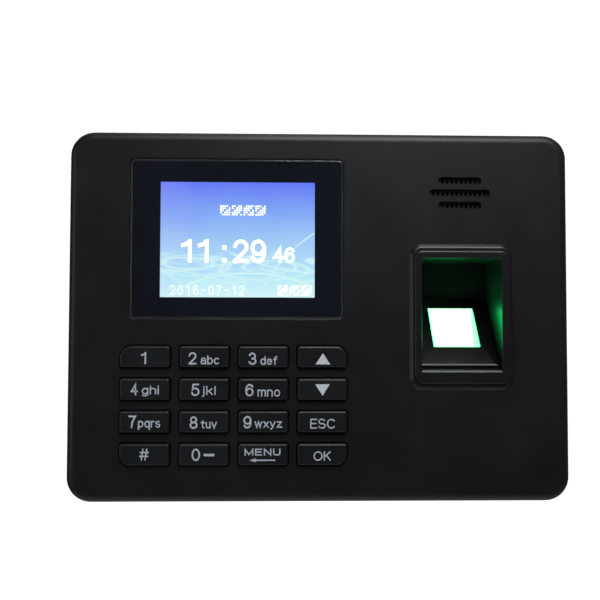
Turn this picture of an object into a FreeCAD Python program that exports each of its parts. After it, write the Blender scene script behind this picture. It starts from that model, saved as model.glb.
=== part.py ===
import FreeCAD, Part
import math
import operator
import os
import types

import Sketcher
from FreeCAD import Rotation, Vector

# Wall-mounted fingerprint terminal: a shallow black case with a display, a keypad of
# sixteen keys, a speaker and a recessed optical fingerprint sensor.
#
# Frame, in millimetres: +X to the right for someone facing the terminal, +Z up, and -Y
# out of the wall towards them.  The origin is on the wall, at the middle of the steel
# wall plate's back.  "out" below is a distance from the wall, so out = -Y.

# ------------------------------------------------------------------ driving sizes

DRIVING_SIZES = {
    # case
    "case_wide": 186.0, "case_tall": 137.0, "case_corner": 9.0,
    "case_back": 0.6, "case_parting": 7.0, "case_face": 35.5,
    "case_wall": 2.2, "face_thick": 2.5, "face_round": 3.5,
    "rear_inset": 0.3, "rear_skin": 2.2, "rear_round": 1.5,
    "lip_gap": 0.15, "lip_thick": 1.4, "lip_high": 2.0,
    "close_gap": 0.3,
    # display
    "screen_x": -30.75, "screen_z": 28.4, "screen_wide": 57.6, "screen_tall": 43.2,
    "window_x": -30.8, "window_z": 28.5, "window_wide": 79.1, "window_tall": 59.4,
    "window_corner": 2.0, "window_recess": 1.7, "window_thick": 1.2, "window_gap": 0.2,
    "window_edge": 0.45, "window_rim": 0.3,
    "tape_thick": 0.2, "tape_margin": 1.0, "tape_overlap": 3.6,
    "aperture_margin": 1.7, "gasket_thick": 0.5, "gasket_margin": 3.0,
    "panel_wide": 67.2, "panel_tall": 48.6, "panel_thick": 1.6, "backlight_thick": 1.8,
    "lcd_wall": 1.1, "lcd_gap": 0.1, "lcd_rim_back": 0.2, "lcd_notch": 22.0,
    "flex_wide": 20.0, "flex_thick": 0.3, "flex_foot": 4.0,
    # boards
    "board_thick": 1.6, "board_corner": 1.5,
    "front_board_out": 27.0, "front_board_x": -31.5,
    "front_board_wide": 99.0, "front_board_tall": 112.0, "front_post_inset": 3.0,
    "main_board_out": 9.0, "main_board_x": -32.0, "main_board_z": -36.0,
    "main_board_wide": 96.0, "main_board_tall": 56.0, "main_post_inset": 4.0,
    "post_radius": 2.5, "main_post_radius": 3.0,
    # keypad
    "keypad_x": -31.65, "keypad_z": -32.82, "key_pitch_across": 21.6, "key_pitch_down": 11.85,
    "key_wide": 18.15, "key_tall": 7.8, "key_proud": 1.6, "key_edge": 0.8,
    "key_corner": 0.85, "key_outer_corner": 4.0, "key_gap": 0.5, "key_free": 0.05,
    "key_flange": 1.2, "key_flange_thick": 1.3, "key_travel": 1.1,
    "membrane_wide": 86.0, "membrane_tall": 46.0, "membrane_thick": 1.0,
    "dome_radius": 3.6, "dome_clear": 0.15,
    # speaker
    "speaker_x": 52.05, "speaker_z": 45.85, "speaker_radius": 14.0, "speaker_deep": 4.0,
    "grille_step": 4.6, "grille_long": 22.7, "grille_short": 16.2, "grille_tall": 3.0,
    "grille_recess": 1.3, "grille_pitch": 1.75, "grille_hole_wide": 0.85,
    "grille_hole_tall": 1.5,
    "speaker_ring_thick": 1.2, "speaker_ring_high": 3.6, "speaker_fit": 0.2,
    "speaker_gasket_thick": 0.6, "speaker_rim": 1.5, "magnet_radius": 8.0, "magnet_deep": 4.2,
    # finger bezel and well
    "bezel_x": 52.35, "bezel_z": -0.4, "bezel_wide": 38.5, "bezel_tall": 54.4,
    "bezel_corner": 4.5, "plinth_high": 1.1, "plinth_slope": 48.0, "plinth_round": 1.5,
    "frame_x": 52.55, "frame_z": -0.35, "frame_wide": 35.6, "frame_tall": 49.3,
    "frame_corner": 3.2, "frame_high": 0.8, "frame_round": 0.75,
    "well_x": 52.25, "well_z": 1.0, "well_wide": 29.7, "well_tall": 40.8,
    "well_corner": 0.8, "well_deep": 20.0, "well_round": 0.25, "well_lip": 1.7,
    "collar_thick": 1.6, "collar_fit": 0.2, "clip_proud": 0.6, "clip_tall": 6.0,
    # optical sensor, whose sloping top is the floor of the well
    "slope_angle": 37.1, "slope_foot_z": -19.0, "floor_fit": 0.35,
    "nose_top_z": -18.25, "nose_bend": 2.2, "nose_round": 0.1,
    "floor_top_z": 7.3, "housing_back": 9.5, "housing_wall": 1.4,
    "platen_low_z": -11.4, "platen_high_z": 3.4, "platen_wide": 17.4, "platen_fit": 0.15,
    "platen_sunk": 0.2,
    "led_board_out": 14.0, "led_board_deep": 10.0, "led_board_thick": 1.0, "led_board_lift": 1.0,
    "led_side": 2.8, "led_high": 1.2, "led_pitch": 4.2, "led_out": 17.6,
    "lens_radius": 4.0, "lens_long": 5.5, "lens_z": -3.0,
    "ear_reach": 24.7, "ear_tall": 8.0, "ear_thick": 2.0, "ear_z": -8.0, "ear_gap": 1.0,
    "ear_screw_reach": 21.65, "ear_boss_radius": 3.0,
    # connectors
    "usb_x": -50.0, "usb_wide": 13.1, "usb_high": 5.9, "usb_deep": 14.0, "usb_skin": 0.35,
    "usb_tongue_wide": 11.1, "usb_tongue_thick": 1.8, "usb_tongue_back": 2.4,
    "usb_port_gap": 0.4,
    "jack_x": -20.0, "jack_wide": 9.0, "jack_high": 11.0, "jack_deep": 14.0,
    "jack_axis": 6.5, "jack_bore": 3.1, "jack_bore_deep": 10.0, "jack_pin": 1.05,
    "jack_port_wide": 9.6, "jack_port_high": 9.2, "jack_port_corner": 0.8,
    # fasteners
    "boss_radius": 3.5, "case_screw_radius": 1.5, "case_head_radius": 2.8,
    "case_head_high": 1.8, "case_screw_long": 12.0, "counterbore_radius": 3.1,
    "case_post_radius": 4.3, "case_post_high": 2.2, "screw_hole_play": 0.2,
    "thread_play": 0.02, "case_screw_side_x": 84.5, "case_screw_mid_x": 22.0,
    "case_screw_z": 60.0,
    "small_screw_radius": 1.0, "small_head_radius": 2.0, "small_head_high": 1.3,
    "small_screw_long": 4.0, "drive_wide": 0.6, "drive_deep": 0.9,
    # wall plate
    "plate_wide": 110.0, "plate_tall": 80.0, "plate_thick": 1.2, "plate_corner": 4.0,
    "plate_screw_across": 90.0, "plate_screw_down": 50.0, "plate_screw_radius": 2.25,
    "hook_x": 28.0, "hook_high_z": 22.0, "hook_low_z": -30.0, "hook_wide": 8.0,
    "hook_steel": 1.2, "hook_reach": 5.6, "hook_tall": 6.5,
    "unhook_travel": 8.0, "plate_play": 1.0, "plate_gap": 0.8,
    "slot_play": 0.2, "slot_side": 0.6,
    "vent_wide": 2.0, "vent_tall": 8.0, "vent_pitch": 5.0, "vent_z": 50.2,
}


class Size:
    """A length that knows its number and the sheet expression that gives it."""

    def __init__(self, number, text):
        self.number = number
        self.text = text

    def __add__(self, other):
        return combine(self, "+", other)

    def __sub__(self, other):
        return combine(self, "-", other)

    def __mul__(self, other):
        return combine(self, "*", other)

    def __truediv__(self, other):
        return combine(self, "/", other)

    def __radd__(self, other):
        return combine(other, "+", self)

    def __rsub__(self, other):
        return combine(other, "-", self)

    def __rmul__(self, other):
        return combine(other, "*", self)

    def __neg__(self):
        return combine(0.0, "-", self)


NEAR = 1e-5
ARITHMETIC = {"+": operator.add, "-": operator.sub, "*": operator.mul, "/": operator.truediv}


def as_size(value):
    return value if isinstance(value, Size) else Size(float(value), f"{float(value)}")


def combine(left, sign, right):
    left = as_size(left)
    right = as_size(right)
    return Size(ARITHMETIC[sign](left.number, right.number), f"({left.text} {sign} {right.text})")


def sine(angle):
    return Size(math.sin(math.radians(angle.number)), f"sin({angle.text} * 1deg)")


def cosine(angle):
    return Size(math.cos(math.radians(angle.number)), f"cos({angle.text} * 1deg)")


def tangent(angle):
    return Size(math.tan(math.radians(angle.number)), f"tan({angle.text} * 1deg)")


doc = FreeCAD.newDocument("fingerprint_terminal")
sheet = doc.addObject("Spreadsheet::Sheet", "sizes")
for row, (alias, value) in enumerate(DRIVING_SIZES.items(), start=1):
    sheet.set(f"A{row}", alias)
    sheet.set(f"B{row}", str(value))
    sheet.setAlias(f"B{row}", alias)
doc.recompute()

size = types.SimpleNamespace(
    **{alias: Size(value, f"sizes.{alias}") for alias, value in DRIVING_SIZES.items()}
)
nodes = {}

# ------------------------------------------------------------------ modelling helpers


def bind(thing, path, length):
    """Tie a property or a constraint to the sheet."""
    thing.setExpression(path, as_size(length).text)


def keep(name, piece):
    """Name a finished sub-part, which is written to its own file."""
    piece.Label = name
    nodes[name] = piece
    return piece


def start_body(name):
    return keep(name, doc.addObject("PartDesign::Body", name))


def start_sketch(body, plane, offset):
    """A sketch on an origin plane: XZ_Plane looks at the front, and its offset is "out"."""
    sketch = body.newObject("Sketcher::SketchObject", "sketch")
    origin_plane = next(f for f in body.Origin.OriginFeatures if f.Role == plane)
    sketch.AttachmentSupport = [(origin_plane, "")]
    sketch.MapMode = "FlatFace"
    bind(sketch, "AttachmentOffset.Base.z", offset)
    return sketch


def add_dimensions(sketch, dimensions):
    """Add (kind, references, length) constraints and tie each to the sheet."""
    constraints = [
        Sketcher.Constraint(kind, *references, length.number)
        for kind, references, length in dimensions
    ]
    indices = sketch.addConstraint(constraints)
    for index, (_, _, length) in zip(indices, dimensions):
        bind(sketch, f"Constraints[{index}]", length)


def draw_circle(sketch, x, z, radius):
    centre = Vector(x.number, z.number, 0)
    circle = sketch.addGeometry(Part.Circle(centre, Vector(0, 0, 1), radius.number))
    add_dimensions(sketch, [
        ("Radius", (circle,), radius),
        ("DistanceX", (-1, 1, circle, 3), x),
        ("DistanceY", (-1, 1, circle, 3), z),
    ])


def draw_polygon(sketch, points):
    """A closed outline through (first, second) sketch coordinates."""
    vectors = [Vector(as_size(a).number, as_size(b).number, 0) for a, b in points]
    count = len(points)
    lines = [
        sketch.addGeometry(Part.LineSegment(vectors[i], vectors[(i + 1) % count]))
        for i in range(count)
    ]
    sketch.addConstraint([
        Sketcher.Constraint("Coincident", lines[i], 2, lines[(i + 1) % count], 1)
        for i in range(count)
    ])
    dimensions = []
    for line, (first, second) in zip(lines, points):
        dimensions.append(("DistanceX", (-1, 1, line, 1), as_size(first)))
        dimensions.append(("DistanceY", (-1, 1, line, 1), as_size(second)))
    add_dimensions(sketch, dimensions)


def draw_rectangle(sketch, x, z, wide, tall, corners=(None, None, None, None)):
    """A rectangle about (x, z).  corners holds the radius, or None, of its bottom left,
    bottom right, top right and top left corners."""
    left, right = x - wide / 2, x + wide / 2
    bottom, top = z - tall / 2, z + tall / 2
    places = [
        (left, bottom, 1, 1), (right, bottom, -1, 1), (right, top, -1, -1), (left, top, 1, -1),
    ]
    entries, exits, arcs = [], [], []
    for index, ((px, pz, inward_x, inward_z), radius) in enumerate(zip(places, corners)):
        if radius is None:
            entries.append(Vector(px.number, pz.number, 0))
            exits.append(Vector(px.number, pz.number, 0))
            arcs.append(None)
            continue
        reach = radius.number
        centre = Vector(px.number + inward_x * reach, pz.number + inward_z * reach, 0)
        start = math.pi + index * math.pi / 2
        end = start + math.pi / 2
        entries.append(centre + Vector(math.cos(start), math.sin(start), 0) * reach)
        exits.append(centre + Vector(math.cos(end), math.sin(end), 0) * reach)
        circle = Part.Circle(centre, Vector(0, 0, 1), reach)
        arcs.append(Part.ArcOfCircle(circle, start, end))
    lines = [
        sketch.addGeometry(Part.LineSegment(exits[i], entries[(i + 1) % 4])) for i in range(4)
    ]
    arcs = [None if arc is None else sketch.addGeometry(arc) for arc in arcs]
    constraints = [
        Sketcher.Constraint("Horizontal", lines[0]),
        Sketcher.Constraint("Vertical", lines[1]),
        Sketcher.Constraint("Horizontal", lines[2]),
        Sketcher.Constraint("Vertical", lines[3]),
    ]
    for i in range(4):
        following = (i + 1) % 4
        arc = arcs[following]
        if arc is None:
            constraints.append(
                Sketcher.Constraint("Coincident", lines[i], 2, lines[following], 1))
        else:
            constraints.append(Sketcher.Constraint("Tangent", lines[i], 2, arc, 1))
            constraints.append(Sketcher.Constraint("Tangent", arc, 2, lines[following], 1))
    sketch.addConstraint(constraints)
    dimensions = [
        ("DistanceX", (-1, 1, lines[3], 1), left),
        ("DistanceX", (-1, 1, lines[1], 1), right),
        ("DistanceY", (-1, 1, lines[0], 1), bottom),
        ("DistanceY", (-1, 1, lines[2], 1), top),
    ]
    for arc, radius in zip(arcs, corners):
        if arc is not None:
            dimensions.append(("Radius", (arc,), radius))
    add_dimensions(sketch, dimensions)


def draw_round_off(sketch, first, second, radius):
    """What rounding the upper left corner at (first, second) takes away."""
    corner = Vector(first.number, second.number, 0)
    centre = corner + Vector(radius.number, -radius.number, 0)
    circle = Part.Circle(centre, Vector(0, 0, 1), radius.number)
    above = centre + Vector(0, radius.number, 0)
    beside = centre - Vector(radius.number, 0, 0)
    top = sketch.addGeometry(Part.LineSegment(corner, above))
    arc = sketch.addGeometry(Part.ArcOfCircle(circle, math.pi / 2, math.pi))
    side = sketch.addGeometry(Part.LineSegment(beside, corner))
    sketch.addConstraint([
        Sketcher.Constraint("Tangent", top, 2, arc, 1),
        Sketcher.Constraint("Tangent", arc, 2, side, 1),
        Sketcher.Constraint("Coincident", side, 2, top, 1),
        Sketcher.Constraint("Horizontal", top),
        Sketcher.Constraint("Vertical", side),
    ])
    add_dimensions(sketch, [
        ("Radius", (arc,), radius),
        ("DistanceX", (-1, 1, top, 1), first),
        ("DistanceY", (-1, 1, top, 1), second),
    ])


def draw_stadium(sketch, x, z, long, tall):
    """An upright or lying slot with round ends, "long" across and "tall" down."""
    lying = long.number > tall.number
    radius = (tall if lying else long) / 2
    reach = (long - tall) / 2 if lying else (tall - long) / 2
    turn = 0.0 if lying else math.pi / 2
    along = Vector(math.cos(turn), math.sin(turn), 0)
    aside = Vector(-math.sin(turn), math.cos(turn), 0) * radius.number
    middle = Vector(x.number, z.number, 0)
    far = middle + along * reach.number
    near = middle - along * reach.number
    upright = Vector(0, 0, 1)
    first = sketch.addGeometry(Part.LineSegment(near - aside, far - aside))
    far_end = sketch.addGeometry(Part.ArcOfCircle(
        Part.Circle(far, upright, radius.number), turn - math.pi / 2, turn + math.pi / 2))
    second = sketch.addGeometry(Part.LineSegment(far + aside, near + aside))
    near_end = sketch.addGeometry(Part.ArcOfCircle(
        Part.Circle(near, upright, radius.number), turn + math.pi / 2, turn + 3 * math.pi / 2))
    straight = "Horizontal" if lying else "Vertical"
    sketch.addConstraint([
        Sketcher.Constraint("Tangent", first, 2, far_end, 1),
        Sketcher.Constraint("Tangent", far_end, 2, second, 1),
        Sketcher.Constraint("Tangent", second, 2, near_end, 1),
        Sketcher.Constraint("Tangent", near_end, 2, first, 1),
        Sketcher.Constraint(straight, first),
        Sketcher.Constraint(straight, second),
    ])
    shift_x = reach if lying else as_size(0.0)
    shift_z = as_size(0.0) if lying else reach
    dimensions = [
        ("Radius", (far_end,), radius),
        ("DistanceX", (-1, 1, far_end, 3), x + shift_x),
        ("DistanceY", (-1, 1, far_end, 3), z + shift_z),
    ]
    if lying:
        dimensions.append(("DistanceX", (-1, 1, near_end, 3), x - shift_x))
    else:
        dimensions.append(("DistanceY", (-1, 1, near_end, 3), z - shift_z))
    add_dimensions(sketch, dimensions)


def pad(body, sketch, length, backward=False, both_ways=False, narrowing=None):
    """Grow a sketch into the body.  narrowing is the angle at which its sides draw in."""
    feature = body.newObject("PartDesign::Pad", "pad")
    feature.Profile = sketch
    bind(feature, "Length", length)
    feature.Reversed = backward
    feature.SideType = "Symmetric" if both_ways else "One side"
    if narrowing is not None:
        bind(feature, "TaperAngle", -narrowing)
    doc.recompute()
    return feature


def pocket(body, sketch, length, forward=False, both_ways=False):
    """Cut towards the wall, or away from it when forward is true."""
    before = body.Shape.Volume
    feature = body.newObject("PartDesign::Pocket", "pocket")
    feature.Profile = sketch
    bind(feature, "Length", length)
    feature.Reversed = forward
    feature.SideType = "Symmetric" if both_ways else "One side"
    doc.recompute()
    if body.Shape.Volume >= before:
        raise RuntimeError(f"a pocket in {body.Label} cuts nothing")
    return feature


def edges_in_plane(shape, out, inside=None, outside=None):
    """Names of the edges that lie wholly in the plane at this distance from the wall.

    inside and outside are rectangles (x, z, wide, tall) that an edge's middle is in, or not in.
    """
    def within(edge, rectangle):
        x, z, wide, tall = (as_size(length).number for length in rectangle)
        middle = edge.BoundBox.Center
        return abs(middle.x - x) < wide / 2 + NEAR and abs(middle.z - z) < tall / 2 + NEAR

    return [
        f"Edge{number}"
        for number, edge in enumerate(shape.Edges, start=1)
        if abs(edge.BoundBox.YMin + out.number) < NEAR
        and abs(edge.BoundBox.YMax + out.number) < NEAR
        and (inside is None or within(edge, inside))
        and (outside is None or not within(edge, outside))
    ]


def edges_across(shape, z):
    """Names of the edges that run straight along X at height z, towards the front."""
    return [
        f"Edge{number}"
        for number, edge in enumerate(shape.Edges, start=1)
        if abs(edge.BoundBox.ZMin - z.number) < NEAR and abs(edge.BoundBox.ZMax - z.number) < NEAR
        and edge.BoundBox.YLength < NEAR < edge.BoundBox.XLength
    ]


def round_chosen(body, edges, radius):
    rounded = body.Tip
    feature = body.newObject("PartDesign::Fillet", "fillet")
    feature.Base = (rounded, edges)
    bind(feature, "Radius", radius)
    doc.recompute()
    return feature


def round_edges(body, out, radius, inside=None, outside=None):
    return round_chosen(body, edges_in_plane(body.Shape, out, inside, outside), radius)


def place(thing, x, out, z):
    bind(thing, "Placement.Base.x", x)
    bind(thing, "Placement.Base.y", -as_size(out))
    bind(thing, "Placement.Base.z", z)
    return thing


def block(x, out, z, wide, thick, tall):
    """A box centred on (x, z) that reaches from "out" to "out + thick"."""
    box = doc.addObject("Part::Box", "block")
    bind(box, "Length", wide)
    bind(box, "Width", thick)
    bind(box, "Height", tall)
    return place(box, x - wide / 2, out + thick, z - tall / 2)


def rod(x, out, z, radius, length):
    """A cylinder about (x, z) that reaches from "out" to "out + length"."""
    cylinder = doc.addObject("Part::Cylinder", "rod")
    cylinder.Placement = FreeCAD.Placement(Vector(0, 0, 0), Rotation(Vector(1, 0, 0), 90))
    bind(cylinder, "Radius", radius)
    bind(cylinder, "Height", length)
    return place(cylinder, x, out, z)


def fuse(pieces):
    joined = doc.addObject("Part::MultiFuse", "fuse")
    joined.Shapes = pieces
    return joined


def cut(base, *tools):
    remaining = doc.addObject("Part::Cut", "cut")
    remaining.Base = base
    remaining.Tool = tools[0] if len(tools) == 1 else fuse(list(tools))
    return remaining


def group(pieces):
    """Separate solids that share one node."""
    compound = doc.addObject("Part::Compound", "group")
    compound.Links = pieces
    return compound


def frame_plate(name, x, z, out, thick, outer_wide, outer_tall, inner_wide, inner_tall,
                inner_x=None, inner_z=None):
    """A flat rectangular frame, such as a gasket."""
    body = start_body(name)
    sketch = start_sketch(body, "XZ_Plane", out)
    draw_rectangle(sketch, x, z, outer_wide, outer_tall)
    pad(body, sketch, thick)
    opening = start_sketch(body, "XZ_Plane", out + thick)
    draw_rectangle(opening, inner_x or x, inner_z or z, inner_wide, inner_tall)
    pocket(body, opening, thick)
    return body


def screw(x, seat_out, z, head_radius, head_high, shank_radius, shank_long, drives_forward=True):
    """A pan-head screw with a cross drive.  Its head bears on the plane "seat_out", and its
    shank goes away from the wall, or towards it when drives_forward is false."""
    if drives_forward:
        head_out, shank_out = seat_out - head_high, seat_out
        drive_out = head_out
    else:
        head_out, shank_out = seat_out, seat_out - shank_long
        drive_out = head_out + head_high - size.drive_deep
    solid = fuse([
        rod(x, head_out, z, head_radius, head_high),
        rod(x, shank_out, z, shank_radius, shank_long),
    ])
    return cut(
        solid,
        block(x, drive_out, z, head_radius * 1.1, size.drive_deep, size.drive_wide),
        block(x, drive_out, z, size.drive_wide, size.drive_deep, head_radius * 1.1),
    )


# ------------------------------------------------------------------ places that parts share

face_inner = size.case_face - size.face_thick
inner_wide = size.case_wide - 2 * size.case_wall
inner_tall = size.case_tall - 2 * size.case_wall
inner_corner = size.case_corner - size.case_wall
bottom_wall_inner_z = -inner_tall / 2

recess_floor = size.plate_thick + size.plate_gap
rear_floor = size.case_back + size.rear_skin
raised_floor = recess_floor + size.rear_skin
recess_wide = size.plate_wide + 2 * size.plate_play
recess_top = size.plate_tall / 2 + size.plate_play
recess_bottom = -size.plate_tall / 2 - size.unhook_travel - size.plate_play
recess_z = (recess_top + recess_bottom) / 2
recess_tall = recess_top - recess_bottom

case_screw_places = [
    (across * column, down * size.case_screw_z)
    for column, signs in ((size.case_screw_side_x, (-1, 1)), (size.case_screw_mid_x, (1,)))
    for across in signs
    for down in (-1, 1)
]
front_board_places = [
    (size.front_board_x + across * (size.front_board_wide / 2 - size.front_post_inset),
     down * (size.front_board_tall / 2 - size.front_post_inset))
    for across in (-1, 1) for down in (-1, 1)
]
main_board_places = [
    (size.main_board_x + across * (size.main_board_wide / 2 - size.main_post_inset),
     size.main_board_z + down * (size.main_board_tall / 2 - size.main_post_inset))
    for across in (-1, 1) for down in (-1, 1)
]
ear_screw_places = [(size.well_x + side * size.ear_screw_reach, size.ear_z) for side in (-1, 1)]
hook_places = [
    (side * size.hook_x, foot) for foot in (size.hook_high_z, size.hook_low_z) for side in (-1, 1)
]

front_board_face = size.front_board_out + size.board_thick
main_board_face = size.main_board_out + size.board_thick
ear_out = size.case_face - size.well_deep - size.collar_thick - size.ear_gap - size.ear_thick

KEY_ROWS = [
    ["key_1", "key_2", "key_3", "key_up"],
    ["key_4", "key_5", "key_6", "key_down"],
    ["key_7", "key_8", "key_9", "key_esc"],
    ["key_hash", "key_0", "key_menu", "key_ok"],
]
# Which corner of the keypad's corner keys is large: bottom left, bottom right, top right, top left.
LARGE_CORNERS = {"key_1": 3, "key_up": 2, "key_hash": 0, "key_ok": 1}


def key_centre(row, column):
    """Centre of a key, counted from the top left."""
    middle = (len(KEY_ROWS) - 1) / 2
    return (size.keypad_x + (column - middle) * size.key_pitch_across,
            size.keypad_z + (middle - row) * size.key_pitch_down)


def key_corners(name, grow):
    corners = [size.key_corner + grow] * 4
    if name in LARGE_CORNERS:
        corners[LARGE_CORNERS[name]] = size.key_outer_corner + grow
    return corners


# ------------------------------------------------------------------ wall plate


def make_wall_plate():
    body = start_body("wall_plate")
    outline = start_sketch(body, "XZ_Plane", as_size(0.0))
    zero = as_size(0.0)
    draw_rectangle(outline, zero, zero, size.plate_wide, size.plate_tall, [size.plate_corner] * 4)
    pad(body, outline, size.plate_thick)
    holes = start_sketch(body, "XZ_Plane", size.plate_thick)
    for across in (-1, 1):
        for down in (-1, 1):
            draw_circle(holes, across * size.plate_screw_across / 2,
                        down * size.plate_screw_down / 2, size.plate_screw_radius)
    pocket(body, holes, size.plate_thick)
    steel = size.hook_steel
    for hook_x, foot in hook_places:
        profile = start_sketch(body, "YZ_Plane", hook_x)
        draw_polygon(profile, [
            (-size.plate_thick / 2, foot),
            (-size.hook_reach, foot),
            (-size.hook_reach, foot + size.hook_tall),
            (steel - size.hook_reach, foot + size.hook_tall),
            (steel - size.hook_reach, foot + steel),
            (-size.plate_thick / 2, foot + steel),
        ])
        pad(body, profile, size.hook_wide, both_ways=True)


# ------------------------------------------------------------------ case


def make_rear_cover():
    body = start_body("rear_cover")
    zero = as_size(0.0)
    tray = start_sketch(body, "XZ_Plane", size.case_back)
    draw_rectangle(tray, zero, zero, size.case_wide - 2 * size.rear_inset,
                   size.case_tall - 2 * size.rear_inset,
                   [size.case_corner - size.rear_inset] * 4)
    pad(body, tray, size.case_parting - size.case_back)
    round_edges(body, size.case_back, size.rear_round)

    lip_wide = inner_wide - 2 * size.lip_gap
    lip_tall = inner_tall - 2 * size.lip_gap
    lip_corner = inner_corner - size.lip_gap
    lip = start_sketch(body, "XZ_Plane", size.case_parting)
    draw_rectangle(lip, zero, zero, lip_wide, lip_tall, [lip_corner] * 4)
    pad(body, lip, size.lip_high)

    lip_top = size.case_parting + size.lip_high
    hollow_wide = lip_wide - 2 * size.lip_thick
    hollow_tall = lip_tall - 2 * size.lip_thick
    hollow_corner = lip_corner - size.lip_thick
    hollow = start_sketch(body, "XZ_Plane", lip_top)
    draw_rectangle(hollow, zero, zero, hollow_wide, hollow_tall, [hollow_corner] * 4)
    pocket(body, hollow, lip_top - raised_floor)

    # The floor is lower round the plate's recess, so that the skin is as thick everywhere.
    border = start_sketch(body, "XZ_Plane", raised_floor)
    draw_rectangle(border, zero, zero, hollow_wide, hollow_tall, [hollow_corner] * 4)
    draw_rectangle(border, zero, recess_z, recess_wide + 2 * size.rear_skin,
                   recess_tall + 2 * size.rear_skin)
    pocket(body, border, raised_floor - rear_floor)

    recess = start_sketch(body, "XZ_Plane", size.case_back)
    draw_rectangle(recess, zero, recess_z, recess_wide, recess_tall)
    pocket(body, recess, recess_floor - size.case_back, forward=True)

    slots = start_sketch(body, "XZ_Plane", raised_floor)
    for hook_x, foot in hook_places:
        slot_top = foot + size.hook_steel + size.slot_play
        slot_bottom = foot - size.unhook_travel - size.slot_side
        draw_rectangle(slots, hook_x, (slot_top + slot_bottom) / 2,
                       size.hook_wide + 2 * size.slot_side, slot_top - slot_bottom)
    pocket(body, slots, size.rear_skin)

    posts = start_sketch(body, "XZ_Plane", rear_floor)
    for x, z in case_screw_places:
        draw_circle(posts, x, z, size.case_post_radius)
    pad(body, posts, size.case_post_high)
    board_posts = start_sketch(body, "XZ_Plane", rear_floor - size.rear_skin / 2)
    for x, z in main_board_places:
        draw_circle(board_posts, x, z, size.main_post_radius)
    pad(body, board_posts, size.main_board_out - rear_floor + size.rear_skin / 2)

    screw_holes = start_sketch(body, "XZ_Plane", size.case_back)
    for x, z in case_screw_places:
        draw_circle(screw_holes, x, z, size.case_screw_radius + size.screw_hole_play)
    pocket(body, screw_holes, size.rear_skin + size.case_post_high, forward=True)
    counterbores = start_sketch(body, "XZ_Plane", size.case_back)
    for x, z in case_screw_places:
        draw_circle(counterbores, x, z, size.counterbore_radius)
    pocket(body, counterbores, size.rear_skin, forward=True)
    pilot_holes = start_sketch(body, "XZ_Plane", size.main_board_out)
    for x, z in main_board_places:
        draw_circle(pilot_holes, x, z, size.small_screw_radius + size.thread_play)
    pocket(body, pilot_holes, size.small_screw_long - size.board_thick + 1.0)

    vents = start_sketch(body, "XZ_Plane", rear_floor)
    for step in range(-6, 7):
        draw_stadium(vents, step * size.vent_pitch, size.vent_z, size.vent_wide, size.vent_tall)
    pocket(body, vents, size.rear_skin)


def grille_rows():
    """The speaker's three slots: height, length and number of holes."""
    return [
        (size.speaker_z + size.grille_step, size.grille_short, 8),
        (size.speaker_z, size.grille_long, 12),
        (size.speaker_z - size.grille_step, size.grille_short, 8),
    ]


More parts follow.
